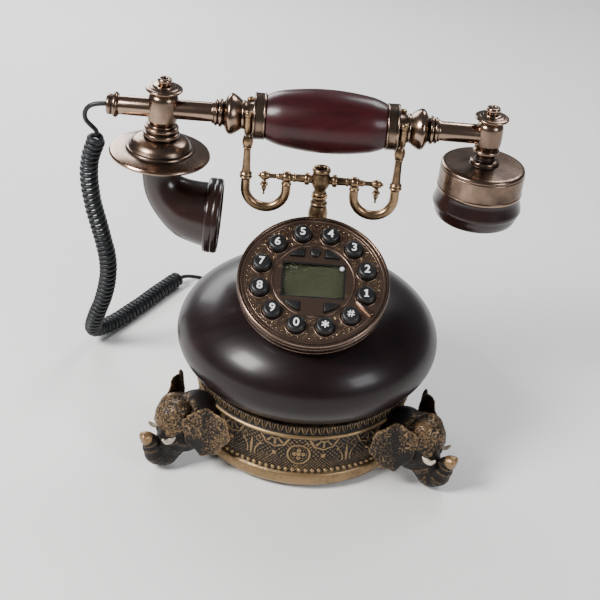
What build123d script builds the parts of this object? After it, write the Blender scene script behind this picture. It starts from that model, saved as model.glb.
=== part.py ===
"""Antique-style desk telephone: a turned wooden body on a cast resin plinth with three elephant heads, a sloping
push-button dial, a spring-loaded cradle with two hooks and forks, and a handset joined to the base by a curly cord.

Frame: millimetres, +Z up, origin at the centre of the felt pad on the table, front towards -Y.
"""
from build123d import *
import math
import os

os.makedirs("parts", exist_ok=True)

# Driving sizes
fit_gap = 0.05            # between pieces that are pressed or bonded together
running_gap = 0.3         # between pieces that move past each other

body_radius = 89.0        # turned wooden body, a flattened ball
body_half_height = 44.0
body_centre_z = 79.0
body_wall = 5.0
body_seat_z = 50.0        # where the body stands on the plinth

pad_radius = 57.0
pad_thickness = 2.0
plate_radius = 66.0
plate_thickness = 3.0
flange_radius = 76.0
wall_radius = 72.0
rim_radius = 75.0
rim_z = 43.5

elephant_azimuths = (213.0, -33.0, 90.0)

dial_y = -36.0
dial_z = 141.0
dial_slope = 62.2         # elevation of the dial's normal, degrees
dial_radius = 49.0
face_radius = 46.6
face_top = -1.2           # heights on the dial are from the rim's front plane
face_thickness = 2.0
key_circle = 35.0
key_radius = 6.1
key_top = 3.6
key_travel = 1.5
panel_radius = 26.4
window_width = 41.0
window_height = 26.0

cradle_y = 20.0
cradle_z = 184.0
cradle_travel = 4.5
arm_ball_x = 22.4
arm_end_x = 37.0
hook_x = 49.3
hook_radius = 3.0
hook_drop = 9.6
prong_radius = 2.4
prong_rise = 5.5          # how far the prongs reach above the handset's axis
neck_radius = 9.0

handset_z = 225.5
tube_radius = 6.3
tube_bore = 4.8
grip_half = 38.4
collar_end = 46.4
ferrule_start = 52.6
ferrule_end = 72.8
hub_x = 104.6
tube_left_end = 136.0
left_lean = 2.6           # the speaking head leans away from the grip, degrees
right_lean = 0.9          # the listening head leans towards it, degrees
bolt_radius = 2.0

wire_diameter = 3.2
coil_diameter = 13.0
jack_x = 45.0
jack_z = 24.0
jack_face_y = 63.5


# Helpers
def turned(start, *steps):
    """Solid of revolution about Z. A step is the next (radius, height), or a list of points for a smooth curve."""
    edges = []
    here = start
    for step in steps:
        if isinstance(step, list):
            edges.append(Spline(here, *step))
            here = step[-1]
        else:
            edges.append(Line(here, step))
            here = step
    if here != start:
        edges.append(Line(here, start))
    return revolve(Plane.XZ * make_face(edges), axis=Axis.Z)


def rod(radius, bottom, top):
    """Upright cylinder from one height to another."""
    return Pos(0, 0, bottom) * Cylinder(radius, top - bottom, align=(Align.CENTER, Align.CENTER, Align.MIN))


def block(x0, x1, y0, y1, z0, z1):
    """Box between two corners."""
    return Pos((x0 + x1) / 2, (y0 + y1) / 2, (z0 + z1) / 2) * Box(x1 - x0, y1 - y0, z1 - z0)


def bar(p, q, radius_p, radius_q):
    """Tapered round bar from one point to another."""
    start = Vector(*p)
    run = Vector(*q) - start
    return Plane(origin=start, z_dir=run) * (Pos(0, 0, run.length / 2) * Cone(radius_p, radius_q, run.length))


def save(node, shape):
    """Writes one piece, or a group of separate pieces, to its own STEP file."""
    export_step(shape, "parts/" + node + ".step")


def group(*shapes):
    """Several separate solids as one node."""
    return Compound(children=[solid for shape in shapes for solid in shape.solids()])


def around(shape, angle):
    """The shape turned about the vertical axis."""
    return Rot(0, 0, angle) * shape


def on_cradle(shape):
    return Pos(0, cradle_y, cradle_z) * shape


def on_handset(shape):
    return Pos(0, cradle_y, handset_z) * shape


def along_handset(shape):
    """A piece turned about Z, laid along the handset's own axis."""
    return on_handset(Rot(0, 90, 0) * shape)


def on_left_head(shape):
    """A piece of the speaking end, which leans in about the centre of its hub."""
    return on_handset(Pos(-hub_x, 0, 0) * Rot(0, left_lean, 0) * shape)


def on_right_head(shape):
    return on_handset(Pos(hub_x, 0, 0) * Rot(0, right_lean, 0) * shape)


def mirrored(shape):
    return mirror(shape, about=Plane.YZ)


slope = math.radians(dial_slope)
dial_plane = Plane(origin=(0, dial_y, dial_z), x_dir=(1, 0, 0), z_dir=(0, -math.cos(slope), math.sin(slope)))


def on_dial(shape):
    return dial_plane * shape


# Plinth and underside
def plinth_ring():
    """The plinth's turned casting, hollow from below."""
    return turned(
        (plate_radius + 0.1, 1.6), (69.0, 1.6),
        [(74.2, 3.6), (flange_radius, 9.0), (74.4, 13.0)], (73.0, 13.4),
        [(wall_radius + 0.4, 22.0), (wall_radius - 0.4, 32.0), (wall_radius + 0.8, rim_z - 2.2)],
        [(rim_radius, rim_z - 0.8), (rim_radius, rim_z + 0.8), (rim_radius - 1.4, rim_z + 2.0)],
        (71.4, body_seat_z), (58.0, body_seat_z), (58.0, 46.0), (65.4, 40.0), (65.4, 5.1),
        (plate_radius + 0.1, 5.1))


def body_form(inset=0.0):
    """The body's flattened ball, or the same ball set in evenly."""
    half_height = body_half_height - inset
    radius = body_radius - inset
    half = Ellipse(radius, half_height) & (Pos(radius, 0) * Rectangle(2 * radius, 4 * half_height))
    return Pos(0, 0, body_centre_z) * revolve(Plane.XZ * half, axis=Axis.Z)


screw_spots = [around(Pos(61.2, 0, 0), angle) for angle in (45, 135, 225, 315)]


def jack_block(side, width):
    """A modular socket with a rectangular mouth that faces the rear."""
    body = block(-7.0, 7.0, jack_face_y - 15.0, jack_face_y, jack_z - 7.0, jack_z + 7.0)
    body = fillet(body.edges().filter_by(Axis.Y), 1.2)
    mouth = block(-width / 2, width / 2, jack_face_y - 11.5, jack_face_y + 1, jack_z - 3.5, jack_z + 3.5)
    latch = block(-1.8, 1.8, jack_face_y - 11.5, jack_face_y + 1, jack_z - 4.9, jack_z - 3.4)
    return Pos(side * jack_x, 0, 0) * (body - mouth - latch)


def make_underside():
    bosses = [spot * rod(4.6, 5.1, 22.0) for spot in screw_spots]
    pilot = [spot * rod(1.6, 0, 18.0) for spot in screw_spots]
    plinth = plinth_ring()
    for boss in bosses:
        plinth += boss
    for hole in pilot:
        plinth -= hole
    jacks = [jack_block(-1, 7.9), jack_block(1, 10.0)]
    for side in (-1, 1):
        opening = block(-7.05, 7.05, 40.0, 80.0, jack_z - 7.05, jack_z + 7.05)
        plinth -= Pos(side * jack_x, 0, 0) * opening
    save("resin_plinth", plinth)
    save("jack_sockets", group(*jacks))

    plate = rod(plate_radius, pad_thickness, pad_thickness + plate_thickness)
    heads = [spot * turned((0, pad_thickness + 0.2), (3.0, pad_thickness + 0.2), (1.5, pad_thickness + 2.0),
                           (1.5, 16.0), (0, 16.0)) for spot in screw_spots]
    recess = [spot * turned((0, 1.0), (3.3, 1.0), (3.3, pad_thickness + 0.1), (1.6, pad_thickness + 2.1), (1.6, 6.0),
                            (0, 6.0)) for spot in screw_spots]
    for cut in recess:
        plate -= cut
    for x in (-30.0, 30.0):
        for y in (-20.0, 20.0):
            plate += Pos(x, y, 0) * rod(3.0, pad_thickness + plate_thickness, 30.0)
    save("bottom_plate", plate)
    save("bottom_screws", group(*heads))
    save("felt_pad", rod(pad_radius, 0, pad_thickness))

    board = block(-36.0, 36.0, -26.0, 26.0, 30.0, 31.6)
    board += block(-24.0, -8.0, -14.0, 2.0, 31.6, 34.2)
    board += block(6.0, 26.0, 4.0, 16.0, 31.6, 40.0)
    board += Pos(14.0, -12.0, 0) * rod(5.0, 31.6, 44.0)
    board += Pos(-18.0, 14.0, 0) * rod(4.0, 31.6, 40.0)
    save("main_board", board)
    ringer = turned((0, 5.0), (21.0, 5.0), (21.0, 8.0), (12.0, 14.0), (12.0, 19.0), (0, 19.0))
    save("ringer", ringer)


def elephant():
    """One elephant's head looking out along +X, on a thick neck, with spread ears and a raised trunk."""
    shape = Pos(85.0, 0, 36.0) * Sphere(15.5)
    shape += Pos(100.5, 0, 39.5) * Sphere(13.2)
    trunk = [  # distance out, height, radius
        (98.0, 27.0, 12.4), (103.5, 17.0, 10.4), (107.0, 10.6, 9.9), (113.5, 13.5, 8.0), (116.8, 21.6, 6.4),
        (118.0, 27.2, 5.2), (120.8, 30.8, 4.2),
    ]
    for u, w, r in trunk:
        shape += Pos(u, 0, w) * Sphere(r)
    for (u, w, r), (u2, w2, r2) in zip(trunk, trunk[1:]):
        shape += bar((u, 0, w), (u2, 0, w2), 0.94 * r, 0.94 * r2)
    for side in (-1, 1):
        spread = Plane(origin=(88.5, side * 22.8, 35.0), x_dir=(-0.515, side * 0.857, 0),
                       z_dir=(0.857, side * 0.515, 0))
        shape += extrude(spread * Ellipse(16.5, 19.5), 2.0, both=True)
        shape += bar((104.0, side * 7.5, 26.0), (114.8, side * 10.3, 25.6), 2.6, 1.3)
    beside = turned((0, -1), (76.2, -1), (76.2, 11.5), (74.0, 14.5), (73.4, 39.5), (75.2, 42.4), (75.2, 44.8),
                    (72.4, 50.0), (75.3, 54.5), (81.0, 59.5), (84.6, 64.0), (84.6, 70.0), (0, 70.0))
    return shape - beside - block(60, 140, -60, 60, -20, 0.5)


# Body and dial
def housing_profile(grow=0.0):
    """The dial housing's solid outer form."""
    return turned((0, 0), (48.2 + grow, 0), (dial_radius + grow, -0.8), (dial_radius + grow, -10.0),
                  (43.5 + grow, -15.5), (32.5 + grow, -26.0), (27.0 + grow, -31.0), (27.0 + grow, -44.0), (0, -44.0))


def make_dial():
    seat = face_top - face_thickness
    cavity = turned((0, 1), (face_radius + 0.1, 1), (face_radius + 0.1, seat), (44.8, seat), (44.8, -10.4),
                    (41.8, -13.4), (30.8, -23.9), (24.6, -29.6), (24.6, -45.0), (0, -45.0))
    groove = turned((50.0, -3.0), (48.5, -3.4), (50.0, -3.8)) + turned((50.0, -8.6), (48.5, -9.0), (50.0, -9.4))
    housing = housing_profile() - cavity - groove
    save("dial_housing", on_dial(housing))

    plate = rod(face_radius, seat, face_top)
    plate += turned((panel_radius - 0.6, face_top), (panel_radius - 0.3, face_top + 0.7),
                    (panel_radius + 0.3, face_top + 0.7), (panel_radius + 0.6, face_top))
    plate += turned((face_radius - 1.6, face_top), (face_radius - 1.2, face_top + 0.6), (face_radius, face_top + 0.6),
                    (face_radius, face_top))
    for number in range(12):
        plate -= around(Pos(key_circle, 0, 0) * rod(key_radius + running_gap + 0.05, -6, 2), 30 * number - 15)
    for outline in panel_keys().values():
        plate -= Pos(0, 0, -6) * extrude(outline(running_gap), 8)
    plate -= block(-window_width / 2, window_width / 2, -window_height / 2, window_height / 2, -6, 2)
    save("dial_faceplate", on_dial(plate))

    lens = block(-window_width / 2 + 0.1, window_width / 2 - 0.1, -window_height / 2 + 0.1, window_height / 2 - 0.1,
                 seat + 0.1, seat + 1.1)
    led_spot = Pos(18.0, 10.6, 0)
    lens -= led_spot * rod(1.7, -6, 2)
    save("display_lens", on_dial(lens))
    save("call_led", on_dial(led_spot * turned((0, seat - 0.1), (1.6, seat - 0.1), (1.6, face_top - 0.4),
                                               [(1.2, face_top + 0.2), (0, face_top + 0.5)])))
    save("lcd_module", on_dial(block(-22.4, 22.4, -14.3, 14.3, -7.7, seat - 0.15)))

    mat = rod(43.5, -8.0, -6.6) - block(-22.8, 22.8, -14.8, 14.8, -9, -6)
    save("keypad_mat", on_dial(mat))
    save("keypad_board", on_dial(rod(43.5, -9.8, -8.2)))

    corners = [(31.0, -26.5), (46.2, -33.0), (46.2, -25.0)]
    points = [(r * math.cos(math.radians(a)), r * math.sin(math.radians(a))) for r, a in corners]
    stop = Pos(0, 0, face_top + 0.05) * extrude(make_face(Polyline(*points, close=True)), 2.6)
    stop = fillet(stop.edges().group_by(Axis.Z)[-1], 0.5)
    stop -= turned((face_radius - 1.7, face_top), (face_radius - 1.25, face_top + 0.65), (60, face_top + 0.65),
                   (60, face_top))
    save("finger_stop", on_dial(stop))


def number_key():
    """A round push button with a bevelled top and a retaining skirt under the faceplate."""
    return turned((0, -4.7), (7.1, -4.7), (7.1, -3.5), (key_radius, -3.5), (key_radius, 1.6),
                  [(5.9, 2.4), (5.0, 3.3), (4.4, key_top)], (0, key_top))


def panel_keys():
    """Outlines of the five small keys on the centre panel, each as a function of how much it is grown."""
    def wedge(x0, x1, y0, y1):
        def outline(grow):
            edge = Pos((x0 + x1) / 2, (y0 + y1) / 2) * Rectangle(x1 - x0 + 2 * grow, y1 - y0 + 2 * grow)
            return edge & Circle(24.4 + grow)
        return outline

    def button(grow):
        return Pos(0, 20.8) * Circle(3.2 + grow)

    return {
        "panel_key_top_left": wedge(-15.8, -6.8, 17.4, 24.0),
        "panel_key_top_middle": button,
        "panel_key_top_right": wedge(6.8, 15.8, 17.4, 24.0),
        "panel_key_bottom_left": wedge(-17.2, -7.8, -23.0, -16.3),
        "panel_key_bottom_right": wedge(7.8, 17.2, -23.0, -16.3),
    }


def make_keys():
    names = ["1", "2", "3", "4", "5", "6", "7", "8", "9", "0", "star", "hash"]
    for number, name in enumerate(names):
        angle = 30 * number - 15
        spot = Pos(key_circle * math.cos(math.radians(angle)), key_circle * math.sin(math.radians(angle)), 0)
        save("key_" + name, on_dial(spot * number_key()))
    for name, outline in panel_keys().items():
        cap = Pos(0, 0, -4.7) * extrude(outline(0), 4.7 + 0.5)
        skirt = Pos(0, 0, -4.7) * extrude(outline(0.75), 1.2)
        save(name, on_dial(cap + skirt))


def post_profile(grow=0.0):
    """Outer form of the post that carries the cradle, in its own axis."""
    return turned((0, 104.0), (7.0 + grow, 104.0), (7.0 + grow, 118.5), (10.5 + grow, 118.5), (10.5 + grow, 123.6),
                  [(9.2 + grow, 125.6), (7.4 + grow, 129.0), (6.6 + grow, 140.0), (6.5 + grow, 150.0)],
                  [(6.5 + grow, 158.0), (5.9 + grow, 165.0), (4.9 + grow, 171.0)],
                  (5.4 + grow, 171.6), (5.4 + grow, 173.2), (0, 173.2))


def make_body():
    shell = body_form() - body_form(body_wall)
    shell -= rod(120, 0, body_seat_z + 0.02)
    shell -= on_dial(housing_profile(0.15))
    shell -= Pos(0, cradle_y, 0) * post_profile(0.1)
    save("body_shell", shell)


def make_post():
    post = post_profile()
    post -= rod(3.3, 100, 180)
    post -= rod(4.7, 120.0, 157.0)
    save("stem_post", Pos(0, cradle_y, 0) * post)
    thread_clear = rod(7.05, 100, 120)
    nut = Pos(0, 0, 107.0) * extrude(RegularPolygon(10.5, 6), 7.5) - thread_clear
    save("stem_nut", Pos(0, cradle_y, 0) * nut)

    case = block(-10.0, 10.0, -3.2, 3.2, 84.5, 94.5)
    case += block(-2.0, 2.0, -1.5, 1.5, 94.5, 96.0)
    case += block(-7.0, 7.0, 3.2, 4.8, 84.5, 103.9)
    case += block(-7.0, 7.0, -6.0, 4.8, 102.4, 103.9) - rod(3.5, 100, 106)
    save("hook_switch", Pos(0, cradle_y, 0) * case)

    coil = Helix(pitch=4.1, height=28.7, radius=3.95)
    start = Plane(origin=coil @ 0, z_dir=coil % 0)
    spring = sweep(start * Circle(0.45), path=coil)
    save("hook_spring", Pos(0, cradle_y, 120.5) * spring)


# Cradle
def cradle_side():
    """The right arm: collar, rods, balls, round hook and the fork that holds the handset's neck."""
    def across(radius, x0, x1):
        return Rot(0, 90, 0) * rod(radius, x0, x1)

    arm = across(4.1, 7.6, 10.6) + across(2.7, 5.0, arm_ball_x) + Pos(arm_ball_x, 0, 0) * Sphere(3.9)
    arm += across(2.0, 25.0, 28.5) + across(1.5, arm_ball_x, arm_end_x) + Pos(arm_end_x, 0, 0) * Sphere(3.1)
    middle = (arm_ball_x + hook_x) / 2
    bend = (hook_x - arm_ball_x) / 2
    path = Line((arm_ball_x, 0, -1), (arm_ball_x, 0, -hook_drop))
    path += ThreePointArc((arm_ball_x, 0, -hook_drop), (middle, 0, -hook_drop - bend), (hook_x, 0, -hook_drop))
    path += Line((hook_x, 0, -hook_drop), (hook_x, 0, 1))
    arm += sweep(Plane(origin=(arm_ball_x, 0, -1), z_dir=(0, 0, -1)) * Circle(hook_radius), path=path)
    neck_z = handset_z - cradle_z
    saddle = neck_radius + prong_radius + 0.4
    upright = turned((0, -2.4), (3.6, -2.4), (4.3, -1.6), (3.5, -0.6), (4.1, 0.4), (3.4, 1.6), (2.9, 2.4),
                     (2.3, 19.5), (3.3, 20.5), (3.6, 23.0), (2.9, 26.5), (2.4, 29.0), (0, 29.0))
    arm += Pos(hook_x, 0, 0) * upright
    fork = Line((hook_x, -saddle, neck_z + prong_rise), (hook_x, -saddle, neck_z))
    fork += ThreePointArc((hook_x, -saddle, neck_z), (hook_x, 0, neck_z - saddle), (hook_x, saddle, neck_z))
    fork += Line((hook_x, saddle, neck_z), (hook_x, saddle, neck_z + prong_rise))
    arm += sweep(Plane(origin=(hook_x, -saddle, neck_z + prong_rise), z_dir=(0, 0, -1)) * Circle(prong_radius), path=fork)
    for side in (-1, 1):
        arm += Pos(hook_x, side * saddle, neck_z + prong_rise) * Sphere(2.65)
    return arm


def make_cradle():
    hub = Sphere(6.4) + rod(5.6, 2.0, 7.2) + turned((0, 6.0), (5.9, 7.0), (5.9, 8.2), (5.2, 8.8), (0, 8.8))
    hub -= rod(3.4, 3.0, 10.0)
    hub += turned((0, -10.4), (4.6, -10.4), (4.6, -9.0), (4.2, -8.4), (4.6, -5.0), (0, -3.0))
    hub += rod(3.0, 96.3 - cradle_z, -4.0)
    hub += rod(4.4, 150.0 - cradle_z, 152.0 - cradle_z)
    for side in (0, 180):
        hub -= around(Rot(0, 90, 0) * rod(2.75, 4.9, 20), side)
        hub -= around(Rot(0, 90, 0) * rod(4.2, 7.5, 20), side)
    save("cradle_hub", on_cradle(hub))
    right = cradle_side()
    save("cradle_hook_right", on_cradle(right))
    save("cradle_hook_left", on_cradle(mirrored(right)))
    drop = turned((0, -14.2), (0.6, -13.4), (0.9, -12.6), (0.5, -11.8), (1.7, -8.6), (1.2, -7.6), (2.7, -6.4),
                  (2.7, -5.6), (1.3, -4.8), (1.3, -3.15), (0, -3.15))
    save("drop_finials", on_cradle(group(Pos(-arm_end_x, 0, 0) * drop, Pos(arm_end_x, 0, 0) * drop)))


# Handset
def make_handset_bar():
    bore = tube_radius + fit_gap
    grip = turned((bore, -grip_half), (14.4, -grip_half),
                  [(16.6, -34.0), (19.3, -20.0), (20.6, 0), (19.3, 20.0), (16.6, 34.0), (14.4, grip_half)],
                  (bore, grip_half))
    save("grip", along_handset(grip))
    collar = turned((bore, grip_half + fit_gap), (14.9, grip_half + fit_gap), (15.1, 39.4), (15.1, 43.6),
                    (14.5, 44.0), (14.5, 44.6), (15.0, 45.0), (15.0, collar_end), (bore, collar_end))
    collar_right = along_handset(collar)
    save("grip_collars", group(mirrored(collar_right), collar_right))
    ferrule = turned((bore, collar_end + fit_gap), (neck_radius, collar_end + fit_gap), (neck_radius, ferrule_start),
                     [(10.2, 54.6), (12.4, 57.6), (13.6, 60.8), (12.6, 63.2), (9.4, 65.4)],
                     (8.0, 65.8), (8.0, 66.6), [(9.2, 67.4), (9.2, 68.4), (8.0, 69.2)], (8.6, 69.6), (8.6, 71.2),
                     (7.4, 71.8), (7.4, ferrule_end), (bore, ferrule_end))
    ferrule_right = along_handset(ferrule)
    save("neck_ferrules", group(mirrored(ferrule_right), ferrule_right))

    tube = along_handset(rod(tube_radius, -tube_left_end, hub_x + 4) - rod(tube_bore, -200, 200))
    tube -= on_left_head(rod(bolt_radius + 0.15, -30, 30))
    tube -= on_right_head(rod(bolt_radius + 0.15, -30, 30))
    save("core_tube", tube)
    cap = turned((bore, 133.4), (7.6, 133.4), (8.1, 134.0), (8.1, 135.8), (7.4, 136.5), (6.6, 136.9), (6.6, 139.8),
                 (5.8, 140.8), (1.75, 140.8), (1.75, 137.0),
                 (4.6, 137.0), (4.6, tube_left_end + fit_gap), (bore, tube_left_end + fit_gap))
    save("tube_end_cap", mirrored(along_handset(cap)))


def make_heads():
    bolt_hole = rod(bolt_radius + 0.05, -60, 60)
    tube_space = along_handset(rod(tube_radius + fit_gap, -200, hub_x + 4.05))

    def hub(radius, half):
        return turned((0, -half), (radius - 1.2, -half), [(radius, -half * 0.55), (radius, half * 0.55),
                      (radius - 1.2, half)], (0, half)) - bolt_hole

    save("head_hubs", group(on_left_head(hub(10.0, 10.4)) - tube_space, on_right_head(hub(8.9, 9.0)) - tube_space))

    def disc(radius, base):
        return turned((2.05, base), (radius - 3.4, base), (radius - 2.6, base + 1.2), (radius - 0.4, base + 2.0),
                      (radius, base + 2.6), (radius, base + 3.4), (radius - 0.8, base + 3.9),
                      (radius - 4.6, base + 4.5), (radius - 4.8, base + 5.8), (2.05, base + 5.8))

    save("finial_discs", group(on_left_head(disc(12.0, 10.45)), on_right_head(disc(11.0, 9.05))))

    def bolt(base, tip):
        head = turned((0, base), (3.6, base), (3.6, base + 1.0), (4.6, base + 1.5), (4.6, base + 3.6),
                      (3.8, base + 4.3), (0, base + 4.3))
        return head + rod(bolt_radius, tip, base)

    save("finial_bolts", group(on_left_head(bolt(16.3, -19.0)), on_right_head(bolt(14.9, -19.0))))

    disc_top = -10.45
    plate = turned((2.05, disc_top), (8.8, disc_top), (8.8, -11.6), (10.9, -12.4), (11.3, -13.6), (10.2, -14.6),
                   (10.2, -15.6), (11.9, -16.6), (11.9, -18.6), (11.0, -19.2),
                   [(14.5, -19.8), (18.6, -22.4), (20.4, -26.8)], (22.0, -27.4), (22.2, -28.2),
                   [(27.0, -28.6), (31.6, -29.8), (33.2, -31.2), (31.8, -32.6)],
                   (29.0, -32.4), (28.0, -31.6), (14.0, -31.6), (14.0, -33.2), (11.9, -33.2), (11.9, -20.6),
                   (2.05, -20.6))
    save("transmitter_cap", on_left_head(plate))
    save("microphone", on_left_head(turned((0, -21.6), (10.8, -21.6), (10.8, -26.6), (0, -26.6))))
    save("mouthpiece_horn", on_left_head(horn()))

    can = turned((2.05, -9.05), (7.4, -9.05), (8.4, -10.2), (8.4, -11.8), (6.4, -12.6), [(6.0, -14.5), (6.6, -16.6)],
                 (9.2, -17.6), (9.2, -20.2), (26.4, -20.2), (27.6, -21.4), (27.6, -38.2), (25.4, -38.2),
                 (25.4, -22.6), (2.05, -22.6))
    save("receiver_can", on_right_head(can))
    cap = turned((24.4, -38.25), (26.9, -38.25), (27.0, -40.0), [(27.8, -44.5), (29.2, -48.0)], (29.2, -49.6),
                 [(27.6, -55.5), (25.6, -58.4), (23.4, -59.0)], [(12.0, -56.4), (0, -55.6)], (0, -53.4),
                 (22.0, -53.4), (24.4, -50.5))
    for ring, count in ((0.0, 1), (4.5, 6), (9.0, 12)):
        for number in range(count):
            cap -= around(Pos(ring, 0, 0) * rod(0.9, -62, -50), number * 360 / count)
    save("receiver_cap", on_right_head(cap))
    save("receiver_speaker", on_right_head(turned((0, -44.0), (9.0, -44.0), (20.0, -48.0), (20.0, -53.3),
                                                  (0, -53.3))))


def horn():
    """The curved mouthpiece: it hangs from the disc, turns to face the other head and flares to a thick rim."""
    sections = [  # inner point, outer point, both (x, z)
        ((11.4, -27.0), (-11.4, -27.0)), ((11.0, -34.0), (-11.0, -34.0)), ((11.6, -41.5), (-10.8, -47.0)),
        ((14.0, -46.8), (-7.5, -62.0)), ((19.0, -49.4), (1.0, -76.0)), ((26.0, -50.6), (14.0, -88.0)),
        ((34.2, -50.7), (34.2, -94.3)),
    ]

    def rings(wall):
        faces = []
        for (xi, zi), (xo, zo) in sections:
            centre = ((xi + xo) / 2, 0, (zi + zo) / 2)
            forward = (zi - zo, 0, xo - xi)
            radius = math.dist((xi, zi), (xo, zo)) / 2 - wall
            faces.append(Plane(origin=centre, x_dir=(0, 1, 0), z_dir=forward) * Circle(radius))
        return loft(faces)

    mouth_z = -72.5
    rim = turned((0, 32.6), (24.0, 32.6), (25.2, 34.0), (25.2, 42.0), (24.2, 43.2), (0, 43.2))
    dish = turned((0, 31.6), (18.8, 31.6), (20.6, 38.0), (22.8, 43.8), (0, 43.8))
    side = Pos(0, 0, mouth_z) * Rot(0, 90, 0)
    return rings(0) + side * rim - rings(2.1) - side * dish - rod(9.3, -30, -26)


# Cord: a thin lead from the handset, the curly stretch, and a thin lead along the table to its socket
lead_out = [(-141.2, 20.0, 225.5), (-149.4, 20.2, 225.0), (-155.0, 21.4, 219.4), (-155.6, 24.2, 211.6),
            (-152.0, 28.4, 205.4), (-147.5, 32.0, 199.0)]
curl = [(-147.5, 32.0, 199.0), (-156.6, 38.0, 175.0), (-155.6, 42.0, 146.0), (-149.0, 46.0, 116.0),
        (-144.6, 52.0, 88.0), (-149.0, 60.0, 58.0), (-158.5, 67.0, 31.0), (-163.0, 78.0, 12.0),
        (-151.0, 98.0, 6.8), (-134.0, 127.0, 6.6), (-119.5, 155.0, 6.6), (-106.0, 178.0, 6.6)]
lead_in = [(-106.0, 178.0, 6.6), (-97.5, 184.0, 4.4), (-86.0, 185.4, 2.0), (-74.5, 179.0, 1.7), (-65.0, 166.0, 1.7),
           (-57.5, 148.0, 1.7), (-50.5, 128.0, 2.2), (-46.4, 110.0, 6.0), (-45.2, 94.0, 14.0), (-45.0, 82.0, 21.0),
           (-45.0, 72.6, 24.0)]


def arc_radii(points):
    """The radius of the arc at each inner point: 0.45 of the shorter run over the tangent of half the turn."""
    radii = []
    for a, b, c in zip(points, points[1:], points[2:]):
        first = Vector(*b) - Vector(*a)
        second = Vector(*c) - Vector(*b)
        half_turn = math.radians(first.get_angle(second) / 2)
        radii.append(0.45 * min(first.length, second.length) / math.tan(half_turn))
    return radii


def tube_along(points, diameter):
    radii = arc_radii(points)
    path = FilletPolyline(*points, radius=radii)
    tube = sweep(Plane(origin=path @ 0, z_dir=path % 0) * Circle(diameter / 2), path=path)
    wanted = math.pi * diameter ** 2 / 4 * path.length
    print("cord tube, length", round(path.length, 1), "volume share", round(tube.volume / wanted, 4),
          "radii", [round(r, 1) for r in radii])
    return tube


def make_cord():
    save("cord_lead_handset", tube_along(lead_out, wire_diameter))
    save("cord_coil", tube_along(curl, coil_diameter))
    save("cord_lead_base", tube_along(lead_in, wire_diameter))
    plug = block(-3.8, 3.8, jack_face_y - 10.5, jack_face_y + 1.6, jack_z - 3.3, jack_z + 3.3)
    plug += Pos(0, jack_face_y + 1.6, jack_z) * Rot(-90, 0, 0) * Cone(3.2, 2.2, 7.5, align=(
        Align.CENTER, Align.CENTER, Align.MIN))
    save("cord_plug", Pos(-jack_x, 0, 0) * plug)


make_underside()
head = elephant()
save("elephant_heads", group(*[around(head, angle) for angle in elephant_azimuths]))
make_body()
make_dial()
make_keys()
make_post()
make_cradle()
make_handset_bar()
make_heads()
make_cord()
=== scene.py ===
import bmesh
import bpy
import math
import random
from mathutils import Matrix, Vector, noise


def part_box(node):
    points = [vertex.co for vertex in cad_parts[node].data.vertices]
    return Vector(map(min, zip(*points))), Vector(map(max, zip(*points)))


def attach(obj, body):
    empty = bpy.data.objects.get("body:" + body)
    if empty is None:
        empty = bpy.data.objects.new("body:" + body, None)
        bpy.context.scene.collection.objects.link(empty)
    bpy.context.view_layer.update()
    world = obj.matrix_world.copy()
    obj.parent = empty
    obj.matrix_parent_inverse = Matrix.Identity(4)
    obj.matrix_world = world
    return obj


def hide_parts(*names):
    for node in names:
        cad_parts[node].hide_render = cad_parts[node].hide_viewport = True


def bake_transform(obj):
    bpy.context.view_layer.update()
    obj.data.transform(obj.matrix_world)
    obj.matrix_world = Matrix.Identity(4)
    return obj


random.seed(11)
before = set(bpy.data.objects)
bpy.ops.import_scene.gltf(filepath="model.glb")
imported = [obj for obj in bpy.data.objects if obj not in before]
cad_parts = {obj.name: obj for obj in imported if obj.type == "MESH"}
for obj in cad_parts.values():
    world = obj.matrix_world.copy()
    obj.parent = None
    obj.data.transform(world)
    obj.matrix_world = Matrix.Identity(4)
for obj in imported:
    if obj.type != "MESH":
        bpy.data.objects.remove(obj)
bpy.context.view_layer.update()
scene = bpy.context.scene
mm = 0.001
print("frame loaded with", len(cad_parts), "nodes")


# places that the pieces are built in
def boxCentre(node):
    low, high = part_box(node)
    return (Vector(low) + Vector(high)) / 2


barCentre = boxCentre("core_tube")
postCentre = boxCentre("stem_post")
atHandset = Matrix.Translation((0, barCentre.y, barCentre.z))
alongBar = atHandset @ Matrix.Rotation(math.radians(90), 4, "Y")
alongBarLeft = atHandset @ Matrix.Rotation(math.radians(-90), 4, "Y")
headLayout = {"reach": 104.6 * mm, "leftLean": 2.6, "rightLean": 0.9}
atLeftHead = atHandset @ Matrix.Translation((-headLayout["reach"], 0, 0))
atLeftHead = atLeftHead @ Matrix.Rotation(math.radians(headLayout["leftLean"]), 4, "Y")
atRightHead = atHandset @ Matrix.Translation((headLayout["reach"], 0, 0))
atRightHead = atRightHead @ Matrix.Rotation(math.radians(headLayout["rightLean"]), 4, "Y")
atCradle = Matrix.Translation((0, postCentre.y, 184 * mm))
dialLayout = {"slope": 62.2, "y": -36 * mm, "z": 141 * mm}
dialSlope = math.radians(dialLayout["slope"])
atDial = Matrix.Translation((0, dialLayout["y"], dialLayout["z"])) @ Matrix((
    (1, 0, 0, 0),
    (0, math.sin(dialSlope), -math.cos(dialSlope), 0),
    (0, math.cos(dialSlope), math.sin(dialSlope), 0),
    (0, 0, 0, 1),
))


# mesh helpers
def cornersOf(profile):
    # a profile's entry is (radius, height) or (radius, height, corner rounding), in millimetres
    return [(p[0], p[1], p[2] if len(p) > 2 else 0.15) for p in profile]


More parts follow.
